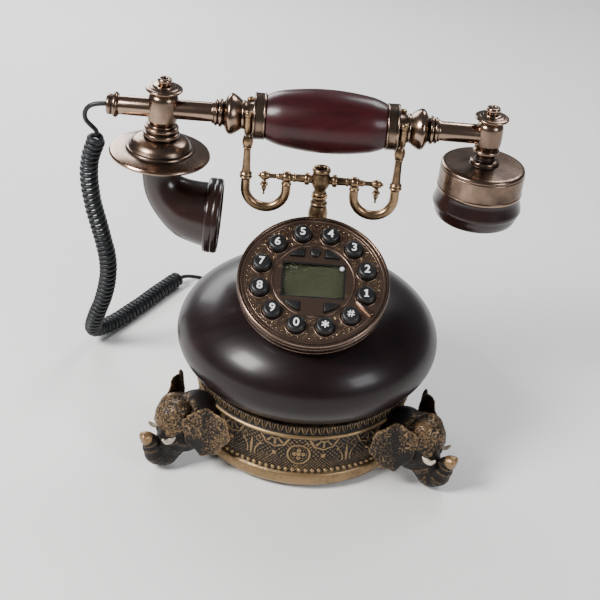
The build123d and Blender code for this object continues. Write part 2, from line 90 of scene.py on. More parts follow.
def roundedWire(bm, profile, closed):
    # lays the profile as edges in the XZ plane and rounds every corner by its own amount
    corners = cornersOf(profile)
    verts = [bm.verts.new((r * mm, 0, z * mm)) for r, z, soft in corners]
    for first, second in zip(verts, verts[1:]):
        bm.edges.new((first, second))
    if closed:
        bm.edges.new((verts[-1], verts[0]))
    for vert, (r, z, soft) in zip(verts, corners):
        if soft > 0 and len(vert.link_edges) == 2:
            parts = 2 if soft < 0.5 else 4 if soft < 3 else 7
            bmesh.ops.bevel(bm, geom=[vert], offset=soft * mm, offset_type="OFFSET", segments=parts,
                            profile=0.5, affect="VERTICES", material=-1, clamp_overlap=True)


def turnedForm(profile, place=Matrix(), steps=96, closed=False):
    bm = bmesh.new()
    roundedWire(bm, profile, closed)
    bmesh.ops.spin(bm, geom=bm.verts[:] + bm.edges[:], cent=(0, 0, 0), axis=(0, 0, 1),
                   angle=math.tau, steps=steps, use_merge=True)
    bmesh.ops.remove_doubles(bm, verts=bm.verts[:], dist=0.004 * mm)
    bmesh.ops.dissolve_degenerate(bm, edges=bm.edges[:], dist=0.002 * mm)
    bmesh.ops.recalc_face_normals(bm, faces=bm.faces[:])
    bm.transform(place)
    return bm


def joined(*forms):
    # gathers several bmeshes in one
    whole = bmesh.new()
    for form in forms:
        passing = bpy.data.meshes.new("passing")
        form.to_mesh(passing)
        form.free()
        whole.from_mesh(passing)
        bpy.data.meshes.remove(passing)
    return whole


def ballForm(radius, place, rings=12):
    bm = bmesh.new()
    bmesh.ops.create_uvsphere(bm, u_segments=rings * 2, v_segments=rings, radius=radius * mm)
    bm.transform(place)
    return bm


def sweptForm(points, radii, sides=20, capped=True):
    # a round bar through the points, in millimetres, with its own radius at each
    bm = bmesh.new()
    path = [Vector(p) * mm for p in points]
    before = None
    side = None
    for number, point in enumerate(path):
        ahead = path[min(number + 1, len(path) - 1)] - path[max(number - 1, 0)]
        ahead.normalize()
        if side is None:
            side = ahead.orthogonal().normalized()
        side = (side - ahead * side.dot(ahead)).normalized()
        turn = Matrix((side, ahead.cross(side), ahead)).transposed().to_4x4()
        made = bmesh.ops.create_circle(bm, cap_ends=False, segments=sides, radius=radii[number] * mm)
        ring = made["verts"]
        bmesh.ops.transform(bm, matrix=Matrix.Translation(point) @ turn, verts=ring)
        edges = list({edge for vert in ring for edge in vert.link_edges})
        if before:
            bmesh.ops.bridge_loops(bm, edges=before + edges)
        elif capped:
            bmesh.ops.contextual_create(bm, geom=edges)
        before = edges
    if capped:
        bmesh.ops.contextual_create(bm, geom=before)
    bmesh.ops.recalc_face_normals(bm, faces=bm.faces[:])
    return bm


def newPiece(name, bm, material, body, nodes=(), sharp=38):
    mesh = bpy.data.meshes.new(name)
    bm.to_mesh(mesh)
    bm.free()
    piece = bpy.data.objects.new(name, mesh)
    scene.collection.objects.link(piece)
    mesh.materials.append(material)
    for polygon in mesh.polygons:
        polygon.use_smooth = True
    mesh.set_sharp_from_angle(angle=math.radians(sharp))
    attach(piece, body)
    if nodes:
        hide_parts(*nodes)
    return piece


def paintNode(node, material):
    thing = bpy.data.objects[node]
    for number in range(max(1, len(thing.material_slots))):
        if not thing.material_slots:
            thing.data.materials.append(material)
        thing.material_slots[number].material = material


# shader groups
def startGroup(name, inputs, outputs):
    group = bpy.data.node_groups.new(name, "ShaderNodeTree")
    for label, kind, value in inputs:
        socket = group.interface.new_socket(name=label, in_out="INPUT", socket_type=kind)
        socket.default_value = value
    for label, kind in outputs:
        group.interface.new_socket(name=label, in_out="OUTPUT", socket_type=kind)
    start = group.nodes.new("NodeGroupInput")
    end = group.nodes.new("NodeGroupOutput")
    return group, start, end


def addNode(tree, kind, settings=None, **values):
    node = tree.nodes.new(kind)
    for key, value in (settings or {}).items():
        setattr(node, key, value)
    for key, value in values.items():
        node.inputs[key.replace("_", " ")].default_value = value
    return node


def addRamp(tree, source, *stops):
    ramp = tree.nodes.new("ShaderNodeValToRGB")
    while len(ramp.color_ramp.elements) < len(stops):
        ramp.color_ramp.elements.new(0.5)
    for element, (position, value) in zip(ramp.color_ramp.elements, stops):
        element.position = position
        element.color = (value, value, value, 1)
    tree.links.new(source, ramp.inputs["Fac"])
    return ramp.outputs["Color"]


def addMath(tree, operation, first, second):
    node = tree.nodes.new("ShaderNodeMath")
    node.operation = operation
    for socket, value in zip(node.inputs, (first, second)):
        if isinstance(value, (int, float)):
            socket.default_value = value
        else:
            tree.links.new(value, socket)
    return node.outputs[0]


def addMix(tree, share, first, second):
    node = tree.nodes.new("ShaderNodeMix")
    node.data_type = "RGBA"
    for socket, value in zip((node.inputs[0], node.inputs[6], node.inputs[7]), (share, first, second)):
        if isinstance(value, (int, float)):
            socket.default_value = value
        elif isinstance(value, (tuple, list)):
            socket.default_value = (*value[:3], 1)
        else:
            tree.links.new(value, socket)
    return node.outputs[2]


def makeTarnish():
    # old metal: dark in the hollows, bright on edges that hands rub, cloudy in between
    group, start, end = startGroup("tarnish", [
        ("Bright", "NodeSocketColor", (0.5, 0.34, 0.2, 1)), ("Dark", "NodeSocketColor", (0.05, 0.03, 0.02, 1)),
        ("Cloud Scale", "NodeSocketFloat", 60), ("Edge", "NodeSocketFloat", 0.6),
        ("Tarnish", "NodeSocketFloat", 0.4), ("Roughness", "NodeSocketFloat", 0.28),
    ], [("Color", "NodeSocketColor"), ("Roughness", "NodeSocketFloat"), ("Height", "NodeSocketFloat")])
    place = addNode(group, "ShaderNodeTexCoord").outputs["Object"]
    clouds = addNode(group, "ShaderNodeTexNoise", Detail=6, Roughness=0.62)
    group.links.new(place, clouds.inputs["Vector"])
    group.links.new(start.outputs["Cloud Scale"], clouds.inputs["Scale"])
    grit = addNode(group, "ShaderNodeTexNoise", Scale=900, Detail=3, Roughness=0.6)
    group.links.new(place, grit.inputs["Vector"])
    edge = addRamp(group, addNode(group, "ShaderNodeNewGeometry").outputs["Pointiness"],
                   (0.47, 0), (0.5, 0.5), (0.56, 1))
    edgeShare = addMath(group, "MULTIPLY", addMath(group, "SUBTRACT", edge, 0.5), start.outputs["Edge"])
    cloudy = addRamp(group, clouds.outputs["Fac"], (0.36, 1), (0.62, 0))
    worn = addMath(group, "MULTIPLY", cloudy, start.outputs["Tarnish"])
    shine = addMath(group, "ADD", addMath(group, "SUBTRACT", 0.78, worn), edgeShare)
    shine = addMath(group, "MINIMUM", addMath(group, "MAXIMUM", shine, 0), 1)
    colour = addMix(group, shine, start.outputs["Dark"], start.outputs["Bright"])
    rough = addMath(group, "ADD", start.outputs["Roughness"],
                    addMath(group, "MULTIPLY", addMath(group, "SUBTRACT", 1, shine), 0.22))
    height = addMath(group, "ADD", addMath(group, "MULTIPLY", grit.outputs["Fac"], 0.35),
                     addMath(group, "MULTIPLY", clouds.outputs["Fac"], 0.65))
    group.links.new(colour, end.inputs["Color"])
    group.links.new(rough, end.inputs["Roughness"])
    group.links.new(height, end.inputs["Height"])
    return group


def makeGilding():
    # cast resin, black in the hollows, with gold rubbed on whatever stands proud
    group, start, end = startGroup("gilding", [
        ("Gold", "NodeSocketColor", (0.5, 0.33, 0.15, 1)),
        ("Ground", "NodeSocketColor", (0.012, 0.010, 0.008, 1)),
        ("Amount", "NodeSocketFloat", 0.5), ("Grain", "NodeSocketFloat", 260),
    ], [("Color", "NodeSocketColor"), ("Metallic", "NodeSocketFloat"), ("Roughness", "NodeSocketFloat"),
        ("Height", "NodeSocketFloat")])
    place = addNode(group, "ShaderNodeTexCoord").outputs["Object"]
    relief = addNode(group, "ShaderNodeAttribute", {"attribute_name": "relief"})
    fine = addNode(group, "ShaderNodeTexNoise", Detail=5, Roughness=0.7)
    group.links.new(place, fine.inputs["Vector"])
    group.links.new(start.outputs["Grain"], fine.inputs["Scale"])
    patches = addNode(group, "ShaderNodeTexNoise", Scale=45, Detail=3, Roughness=0.6)
    group.links.new(place, patches.inputs["Vector"])
    edge = addRamp(group, addNode(group, "ShaderNodeNewGeometry").outputs["Pointiness"],
                   (0.485, 0), (0.53, 1))
    proud = addMath(group, "ADD", addMath(group, "MULTIPLY", relief.outputs["Fac"], 0.75),
                    addMath(group, "MULTIPLY", edge, 0.35))
    rubbed = addMath(group, "ADD", proud, addMath(group, "SUBTRACT", start.outputs["Amount"], 0.5))
    rubbed = addMath(group, "ADD", rubbed, addMath(group, "MULTIPLY",
                     addMath(group, "SUBTRACT", fine.outputs["Fac"], 0.5), 0.9))
    rubbed = addMath(group, "ADD", rubbed, addMath(group, "MULTIPLY",
                     addMath(group, "SUBTRACT", patches.outputs["Fac"], 0.5), 0.7))
    mask = addRamp(group, rubbed, (0.28, 0), (0.85, 1))
    group.links.new(addMix(group, mask, start.outputs["Ground"], start.outputs["Gold"]), end.inputs["Color"])
    group.links.new(addMath(group, "MULTIPLY", mask, 0.75), end.inputs["Metallic"])
    group.links.new(addMath(group, "SUBTRACT", 0.5, addMath(group, "MULTIPLY", mask, 0.14)),
                    end.inputs["Roughness"])
    group.links.new(fine.outputs["Fac"], end.inputs["Height"])
    return group


def makeOrangePeel():
    # the faint waviness and specks of a sprayed or moulded gloss surface
    group, start, end = startGroup("orangePeel", [
        ("Tint", "NodeSocketColor", (0.02, 0.01, 0.01, 1)),
        ("Shade", "NodeSocketColor", (0.01, 0.005, 0.005, 1)),
        ("Wave Scale", "NodeSocketFloat", 90), ("Figure Scale", "NodeSocketFloat", 30),
        ("Roughness", "NodeSocketFloat", 0.2),
    ], [("Color", "NodeSocketColor"), ("Roughness", "NodeSocketFloat"), ("Height", "NodeSocketFloat")])
    place = addNode(group, "ShaderNodeTexCoord").outputs["Object"]
    wave = addNode(group, "ShaderNodeTexNoise", Detail=2, Roughness=0.4)
    group.links.new(place, wave.inputs["Vector"])
    group.links.new(start.outputs["Wave Scale"], wave.inputs["Scale"])
    stretch = addNode(group, "ShaderNodeMapping", Scale=(0.25, 1, 1))
    group.links.new(place, stretch.inputs["Vector"])
    figure = addNode(group, "ShaderNodeTexNoise", Detail=7, Roughness=0.66, Distortion=1.2)
    group.links.new(stretch.outputs["Vector"], figure.inputs["Vector"])
    group.links.new(start.outputs["Figure Scale"], figure.inputs["Scale"])
    share = addRamp(group, figure.outputs["Fac"], (0.35, 0), (0.7, 1))
    group.links.new(addMix(group, share, start.outputs["Shade"], start.outputs["Tint"]), end.inputs["Color"])
    smear = addMath(group, "MULTIPLY", addMath(group, "SUBTRACT", figure.outputs["Fac"], 0.5), 0.16)
    group.links.new(addMath(group, "ADD", start.outputs["Roughness"], smear), end.inputs["Roughness"])
    group.links.new(wave.outputs["Fac"], end.inputs["Height"])
    return group


tarnish = makeTarnish()
gilding = makeGilding()
orangePeel = makeOrangePeel()


# materials
def finishWith(name, group, bump, depth, shader=None, **values):
    # a Principled material whose colour, roughness and bump come from a group
    material = bpy.data.materials.new(name)
    material.use_nodes = True
    tree = material.node_tree
    surface = tree.nodes["Principled BSDF"]
    for key, value in (shader or {}).items():
        surface.inputs[key].default_value = value
    use = tree.nodes.new("ShaderNodeGroup")
    use.node_tree = group
    for key, value in values.items():
        socket = use.inputs[key.replace("_", " ")]
        socket.default_value = (*value, 1) if isinstance(value, tuple) else value
    tree.links.new(use.outputs["Color"], surface.inputs["Base Color"])
    tree.links.new(use.outputs["Roughness"], surface.inputs["Roughness"])
    if "Metallic" in use.outputs:
        tree.links.new(use.outputs["Metallic"], surface.inputs["Metallic"])
    relief = addNode(tree, "ShaderNodeBump", Strength=bump, Distance=depth * mm)
    tree.links.new(use.outputs["Height"], relief.inputs["Height"])
    tree.links.new(relief.outputs["Normal"], surface.inputs["Normal"])
    return material


handsetBronze = finishWith("handsetBronze", tarnish, 0.25, 0.1, {"Metallic": 1.0},
                           Bright=(0.3, 0.205, 0.15), Dark=(0.028, 0.02, 0.018), Cloud_Scale=38, Edge=1.9,
                           Tarnish=0.62, Roughness=0.17)
cradleBronze = finishWith("cradleBronze", tarnish, 0.3, 0.1, {"Metallic": 1.0},
                          Bright=(0.31, 0.205, 0.118), Dark=(0.045, 0.027, 0.017), Cloud_Scale=90, Edge=1.5,
                          Tarnish=0.62, Roughness=0.26)
dialBronze = finishWith("dialBronze", tarnish, 0.3, 0.1, {"Metallic": 1.0},
                        Bright=(0.22, 0.15, 0.115), Dark=(0.04, 0.026, 0.02), Cloud_Scale=70, Edge=1.8,
                        Tarnish=0.5, Roughness=0.24)
bodyLacquer = finishWith("bodyLacquer", orangePeel, 0.12, 0.25,
                         {"Coat Weight": 0.16, "Coat Roughness": 0.16, "Specular IOR Level": 0.24},
                         Tint=(0.014, 0.0045, 0.0055), Shade=(0.0055, 0.0022, 0.0028), Wave_Scale=160,
                         Figure_Scale=26, Roughness=0.36)
gripLacquer = finishWith("gripLacquer", orangePeel, 0.1, 0.2,
                         {"Coat Weight": 0.2, "Coat Roughness": 0.16, "Specular IOR Level": 0.28},
                         Tint=(0.052, 0.0042, 0.0068), Shade=(0.018, 0.002, 0.0035), Wave_Scale=140,
                         Figure_Scale=42, Roughness=0.36)
bakelite = finishWith("bakelite", orangePeel, 0.1, 0.2,
                      {"Coat Weight": 0.2, "Coat Roughness": 0.12, "Specular IOR Level": 0.4},
                      Tint=(0.026, 0.0105, 0.0085), Shade=(0.012, 0.005, 0.0045), Wave_Scale=200,
                      Figure_Scale=36, Roughness=0.24)
keyPlastic = finishWith("keyPlastic", orangePeel, 0.2, 0.15, {},
                        Tint=(0.0085, 0.008, 0.009), Shade=(0.005, 0.0048, 0.0055), Wave_Scale=900,
                        Figure_Scale=60, Roughness=0.42)
cordRubber = finishWith("cordRubber", orangePeel, 0.2, 0.1, {"Specular IOR Level": 0.35},
                        Tint=(0.009, 0.0115, 0.0145), Shade=(0.0045, 0.0055, 0.0072), Wave_Scale=900,
                        Figure_Scale=120, Roughness=0.42)
resinGilt = finishWith("resinGilt", gilding, 0.5, 0.35, {"Specular IOR Level": 0.25},
                       Gold=(0.29, 0.19, 0.095), Ground=(0.011, 0.0085, 0.007), Amount=0.5, Grain=420)
elephantGilt = finishWith("elephantGilt", gilding, 0.5, 0.35, {"Specular IOR Level": 0.22},
                          Gold=(0.27, 0.17, 0.088), Ground=(0.01, 0.008, 0.007), Amount=0.44, Grain=300)
innerPlastic = finishWith("innerPlastic", orangePeel, 0.2, 0.1, {},
                          Tint=(0.03, 0.03, 0.03), Shade=(0.018, 0.018, 0.018), Wave_Scale=700,
                          Figure_Scale=90, Roughness=0.5)
print("materials made")


# floor, light and camera
studio = {
    "floor": (0.9, 0.9, 0.89), "world": 0.17, "key": 24.0, "fill": 7.0, "top": 8.0, "back": 9.0,
    "place": (-16.4, -723.2, 548.3), "target": (-7.0, 0.0, 102.7), "roll": 5.0, "lens": 75.3,
}


def makeStudio():
    bm = bmesh.new()
    bmesh.ops.create_grid(bm, x_segments=8, y_segments=8, size=4)
    mesh = bpy.data.meshes.new("floor")
    bm.to_mesh(mesh)
    bm.free()
    floor = bpy.data.objects.new("floor", mesh)
    scene.collection.objects.link(floor)
    paper = bpy.data.materials.new("paper")
    paper.use_nodes = True
    tree = paper.node_tree
    surface = tree.nodes["Principled BSDF"]
    surface.inputs["Roughness"].default_value = 0.85
    fibre = addNode(tree, "ShaderNodeTexNoise", Scale=60, Detail=4)
    share = addRamp(tree, fibre.outputs["Fac"], (0.3, 0), (0.7, 1))
    tint = addMix(tree, share, tuple(0.985 * v for v in studio["floor"]), studio["floor"])
    tree.links.new(tint, surface.inputs["Base Color"])
    mesh.materials.append(paper)

    world = bpy.data.worlds.new("room")
    world.use_nodes = True
    world.node_tree.nodes["Background"].inputs["Color"].default_value = (0.93, 0.95, 1.0, 1)
    world.node_tree.nodes["Background"].inputs["Strength"].default_value = studio["world"]
    scene.world = world

    lamps = [
        ("key", (-0.8, -0.45, 0.9), 0.4, (1.0, 0.98, 0.95)),
        ("fill", (0.95, -0.75, 0.7), 0.45, (0.95, 0.97, 1.0)),
        ("top", (0.5, 0.85, 1.1), 0.5, (1.0, 1.0, 1.0)), ("back", (-0.5, 0.95, 0.6), 0.6, (0.95, 0.97, 1.0)),
    ]
    for name, place, size, tint in lamps:
        lamp = bpy.data.lights.new(name, "AREA")
        lamp.energy = studio[name]
        lamp.size = size
        lamp.color = tint
        thing = bpy.data.objects.new(name, lamp)
        scene.collection.objects.link(thing)
        thing.location = place
        thing.rotation_euler = (Vector((0, 0, 0.1)) - Vector(place)).to_track_quat("-Z", "Y").to_euler()


def makeCamera():
    place = Vector(studio["place"]) * mm
    ahead = (Vector(studio["target"]) * mm - place).normalized()
    level = ahead.cross(Vector((0, 0, 1))).normalized()
    above = level.cross(ahead)
    roll = math.radians(studio["roll"])
    right = level * math.cos(roll) + above * math.sin(roll)
    up = above * math.cos(roll) - level * math.sin(roll)
    lens = bpy.data.cameras.new("view")
    lens.sensor_width = 36
    lens.lens = studio["lens"]
    lens.clip_start = 0.01
    camera = bpy.data.objects.new("view", lens)
    scene.collection.objects.link(camera)
    camera.matrix_world = Matrix.Translation(place) @ Matrix((right, up, -ahead)).transposed().to_4x4()
    scene.camera = camera


makeStudio()
makeCamera()
print("studio and camera set")


# curly cord
cordValues = {"wire": 0.0032, "coil": 0.013, "pitch": 0.0043, "perTurn": 16, "ease": 0.006}
leadOut = [(-0.1412, 0.0200, 0.2255), (-0.1494, 0.0202, 0.2250), (-0.1550, 0.0214, 0.2194),
           (-0.1556, 0.0242, 0.2116), (-0.1520, 0.0284, 0.2054), (-0.1475, 0.0320, 0.1990)]
curl = [(-0.1566, 0.0380, 0.1750), (-0.1556, 0.0420, 0.1460), (-0.1490, 0.0460, 0.1160),
        (-0.1446, 0.0520, 0.0880), (-0.1490, 0.0600, 0.0580), (-0.1585, 0.0670, 0.0310),
        (-0.1630, 0.0780, 0.0120), (-0.1510, 0.0980, 0.0068), (-0.1340, 0.1270, 0.0066),
        (-0.1195, 0.1550, 0.0066), (-0.1060, 0.1780, 0.0066)]
leadIn = [(-0.0975, 0.1840, 0.0044), (-0.0860, 0.1854, 0.0020), (-0.0745, 0.1790, 0.0017),
          (-0.0650, 0.1660, 0.0017), (-0.0575, 0.1480, 0.0017), (-0.0505, 0.1280, 0.0022),
          (-0.0464, 0.1100, 0.0060), (-0.0452, 0.0940, 0.0140), (-0.0450, 0.0820, 0.0210),
          (-0.0450, 0.0726, 0.0240)]


def routeLine(points):
    # the smooth line that the route's points pull into shape
    data = bpy.data.curves.new("route", "CURVE")
    data.dimensions = "3D"
    data.resolution_u = 20
    spline = data.splines.new("NURBS")
    spline.points.add(len(points) - 1)
    for control, point in zip(spline.points, points):
        control.co = (*point, 1)
    spline.order_u = 3
    spline.use_endpoint_u = True
    thing = bpy.data.objects.new("route", data)
    scene.collection.objects.link(thing)
    bpy.context.view_layer.update()
    mesh = bpy.data.meshes.new_from_object(thing.evaluated_get(bpy.context.evaluated_depsgraph_get()))
    line = [vert.co.copy() for vert in mesh.vertices]
    bpy.data.meshes.remove(mesh)
    bpy.data.objects.remove(thing)
    return line


def lengthOf(line):
    return sum((b - a).length for a, b in zip(line, line[1:]))


def travelled(line):
    total = [0.0]
    for a, b in zip(line, line[1:]):
        total.append(total[-1] + (b - a).length)
    return total


def pointAlong(line, marks, distance):
    for number in range(1, len(line)):
        if marks[number] >= distance or number == len(line) - 1:
            span = marks[number] - marks[number - 1]
            share = (distance - marks[number - 1]) / span if span else 0
            a, b = line[number - 1], line[number]
            return a.lerp(b, share), (b - a).normalized()


def makeCord():
    line = routeLine(leadOut + curl + leadIn)
    marks = travelled(line)
    nearest = [min(range(len(line)), key=lambda n: (line[n] - Vector(end)).length)
               for end in (leadOut[-1], curl[-1])]
    coilStart, coilEnd = marks[nearest[0]], marks[nearest[1]]
    reach = (cordValues["coil"] - cordValues["wire"]) / 2
    turns = round((coilEnd - coilStart) / cordValues["pitch"])
    path = []
    side = None
    steps = turns * cordValues["perTurn"]
    distances = [coilStart * n / 14 for n in range(14)]
    distances += [coilStart + (coilEnd - coilStart) * n / steps for n in range(steps + 1)]
    distances += [coilEnd + (marks[-1] - coilEnd) * n / 50 for n in range(1, 51)]
    for distance in distances:
        centre, ahead = pointAlong(line, marks, distance)
        side = ahead.orthogonal() if side is None else side
        side = (side - ahead * side.dot(ahead)).normalized()
        inCoil = min(distance - coilStart, coilEnd - distance)
        grown = min(max(inCoil / cordValues["ease"], 0), 1)
        grown = grown * grown * (3 - 2 * grown)
        angle = math.tau * turns * (distance - coilStart) / (coilEnd - coilStart)
        wobble = 1 + 0.03 * math.sin(angle * 0.13)
        swing = side * math.cos(angle) + ahead.cross(side) * math.sin(angle)
        path.append(centre + swing * reach * grown * min(wobble, 1))
    data = bpy.data.curves.new("wire", "CURVE")
    data.dimensions = "3D"
    spline = data.splines.new("POLY")
    spline.points.add(len(path) - 1)
    for control, point in zip(spline.points, path):
        control.co = (*point, 1)
    data.bevel_depth = cordValues["wire"] / 2
    data.bevel_resolution = 3
    data.use_fill_caps = True
    thing = bpy.data.objects.new("wire", data)
    scene.collection.objects.link(thing)
    bpy.context.view_layer.update()
    mesh = bpy.data.meshes.new_from_object(thing.evaluated_get(bpy.context.evaluated_depsgraph_get()))
    bpy.data.objects.remove(thing)
    mesh.name = "curlyCord"
    mesh.materials.clear()
    mesh.materials.append(cordRubber)
    for polygon in mesh.polygons:
        polygon.use_smooth = True
    cord = bpy.data.objects.new("curlyCord", mesh)
    scene.collection.objects.link(cord)
    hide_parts("cord_lead_handset", "cord_coil", "cord_lead_base")
    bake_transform(cord)
    print("cord", round(lengthOf(path), 3), "m of wire in", turns, "turns")


makeCord()


# handset: grip, collars, ferrules and tube
barLayout = {"bore": 6.35, "grip": 38.4, "tube": 6.3}


def makeGrip():
    bore, end = barLayout["bore"], barLayout["grip"]
    profile = [(bore, -end, 0), (14.2, -end, 0.7), (16.9, -33.0, 5), (19.7, -18.0, 12), (20.6, 0, 14),
               (19.7, 18.0, 12), (16.9, 33.0, 5), (14.2, end, 0.7), (bore, end, 0)]
    newPiece("gripBarrel", turnedForm(profile, alongBar, 128, closed=True), gripLacquer, "handset", ["grip"],
             30)


def makeCollars():
    bore = barLayout["bore"]
    profile = [(bore, 38.45, 0), (14.5, 38.45, 0.3), (15.1, 38.9, 0.25), (15.1, 39.5, 0.2), (14.8, 39.8, 0.15),
               (14.95, 42.6, 3), (14.9, 45.0, 0.3), (15.2, 45.3, 0.2), (15.2, 46.0, 0.3), (14.6, 46.4, 0.3),
               (9.6, 46.4, 0.2), (bore, 46.4, 0)]
    forms = [turnedForm(profile, place, 96, closed=True) for place in (alongBar, alongBarLeft)]
    newPiece("gripCollars", joined(*forms), handsetBronze, "handset", ["grip_collars"])


def makeFerrules():
    bore = barLayout["bore"]
    profile = [(bore, 46.45, 0), (9.0, 46.45, 0.2), (8.7, 47.6, 1), (8.5, 49.6, 2), (8.7, 51.8, 1),
               (9.4, 52.4, 0.3),
               (9.4, 53.4, 0.3), (9.0, 53.8, 0.2), (10.6, 55.6, 2), (12.7, 58.4, 2.2), (13.5, 60.9, 0.9),
               (12.9, 62.4, 1.2), (10.9, 64.0, 1.5), (8.6, 65.0, 0.5), (7.6, 65.5, 0.2), (7.6, 66.2, 0.2),
               (9.1, 66.5, 0.5), (9.1, 68.3, 0.5), (7.5, 68.7, 0.2), (7.5, 69.3, 0.2), (8.5, 69.6, 0.4),
               (8.5, 71.1, 0.4), (7.2, 71.4, 0.2), (7.2, 72.8, 0.3), (bore, 72.8, 0)]
    forms = [turnedForm(profile, place, 96, closed=True) for place in (alongBar, alongBarLeft)]
    newPiece("neckFerrules", joined(*forms), handsetBronze, "handset", ["neck_ferrules"])


def makeTube():
    radius = barLayout["tube"]
    profile = [(4.8, -136.0, 0.1), (radius, -136.0, 0.2), (radius, -60, 0), (radius, 60, 0),
               (radius, 108.5, 0.2),
               (4.8, 108.5, 0.1)]
    newPiece("coreTube", turnedForm(profile, alongBar, 64, closed=True), handsetBronze, "handset",
             ["core_tube"])
    cap = [(6.35, 132.6, 0), (7.0, 132.6, 0.2), (7.1, 133.3, 0.2), (7.8, 133.6, 0.2), (8.2, 134.4, 0.4),
           (8.2, 135.3, 0.4), (7.6, 136.2, 0.3), (6.7, 136.6, 0.2), (6.5, 137.2, 0.2), (6.75, 137.8, 0.3),
           (6.75, 139.4, 0.4), (6.1, 140.3, 0.4), (4.4, 140.5, 0.3), (2.4, 140.8, 0.3), (1.75, 140.4, 0.2),
           (1.75, 137.0, 0), (4.6, 137.0, 0), (4.6, 136.1, 0), (6.35, 136.1, 0)]
    newPiece("tubeEndCap", turnedForm(cap, alongBarLeft, 72, closed=True), handsetBronze, "handset",
             ["tube_end_cap"])



makeGrip()
makeCollars()
makeFerrules()
makeTube()


# handset: the two heads
headValues = {"hornWall": 2.1, "grilleHole": 0.9}


def hubForm(radius, half, place):
    profile = [(2.05, -half, 0), (radius - 2.2, -half, 0.3), (radius - 0.5, -half * 0.78, 1.5), (radius, 0, 5),
               (radius - 0.5, half * 0.78, 1.5), (radius - 2.2, half, 0.3), (2.05, half, 0)]
    return turnedForm(profile, place, 96, closed=True)


def discForm(radius, base, place):
    profile = [(2.05, base, 0), (radius - 3.6, base, 0.2), (radius - 3.0, base + 1.1, 0.5),
               (radius - 0.7, base + 1.8, 0.5), (radius, base + 2.5, 0.3), (radius, base + 3.4, 0.4),
               (radius - 0.9, base + 3.9, 0.3), (radius - 2.6, base + 4.0, 0.2),
               (radius - 3.4, base + 4.5, 0.3),
               (radius - 4.8, base + 4.7, 0.2), (radius - 5.0, base + 5.8, 0.4), (2.05, base + 5.8, 0)]
    return turnedForm(profile, place, 96, closed=True)


def boltForm(base, tip, place):
    profile = [(0, base), (3.5, base, 0.2), (3.7, base + 0.5, 0.2), (3.4, base + 1.1, 0.2),
               (4.5, base + 1.4, 0.3),
               (4.6, base + 3.3, 0.5), (3.9, base + 4.3, 0.4), (2.4, base + 4.3, 0.15),
               (2.1, base + 3.4, 0.15),
               (0, base + 3.2)]
    head = turnedForm(profile, place, 48)
    shank = turnedForm([(0, tip), (2.0, tip), (2.0, base), (0, base)], place, 24)
    return joined(head, shank)


def makeHeads():
    newPiece("headHubs", joined(hubForm(10.0, 10.4, atLeftHead), hubForm(8.9, 9.0, atRightHead)),
             handsetBronze,
             "handset", ["head_hubs"])
    newPiece("finialDiscs", joined(discForm(12.0, 10.45, atLeftHead), discForm(11.0, 9.05, atRightHead)),
             handsetBronze, "handset", ["finial_discs"])
    newPiece("finialBolts", joined(boltForm(16.3, -19, atLeftHead), boltForm(14.9, -19, atRightHead)),
             handsetBronze, "handset", ["finial_bolts"])
    cap = [(2.05, -10.45, 0), (8.8, -10.45, 0.3), (9.0, -11.4, 0.3), (10.9, -12.1, 0.4), (11.3, -13.4, 0.6),
           (10.6, -14.6, 0.4), (10.0, -14.9, 0.2), (10.0, -15.5, 0.2), (11.6, -15.9, 0.4), (12.0, -17.4, 0.7),
           (11.5, -19.0, 0.4), (10.8, -19.4, 0.2), (14.6, -20.0, 2.5), (18.6, -22.4, 3.5), (20.4, -26.4, 0.8),
           (21.7, -26.9, 0.3), (22.1, -28.2, 0.4), (23.6, -28.5, 0.5), (28.4, -28.9, 4), (32.2, -29.9, 1.2),
           (33.2, -31.2, 0.7), (32.2, -32.6, 0.5), (30.4, -32.6, 0.3), (28.0, -31.6, 1), (14.0, -31.6, 0.2),
           (14.0, -33.2, 0.3), (11.9, -33.2, 0.2), (11.9, -20.6, 0), (2.05, -20.6, 0)]
    newPiece("transmitterCap", turnedForm(cap, atLeftHead, 144, closed=True), handsetBronze, "handset",
             ["transmitter_cap"])
    can = [(2.05, -9.05, 0), (7.4, -9.05, 0.3), (8.5, -9.9, 0.4), (8.5, -11.8, 0.5), (6.6, -12.5, 0.4),
           (6.1, -14.4, 2),
           (6.5, -16.4, 1), (7.6, -16.8, 0.2), (9.2, -17.4, 0.4), (9.3, -19.9, 0.6), (10.4, -20.2, 0.3),
           (25.0, -20.4, 0.5), (26.8, -20.9, 0.8), (27.5, -22.4, 0.6), (27.3, -23.3, 0.15),
           (27.6, -23.7, 0.15),
           (27.6, -36.4, 0.3), (27.9, -36.9, 0.2), (27.9, -38.2, 0.3), (25.4, -38.2, 0), (25.4, -22.6, 0),
           (2.05, -22.6, 0)]
    newPiece("receiverCan", turnedForm(can, atRightHead, 144, closed=True), handsetBronze, "handset",
             ["receiver_can"])


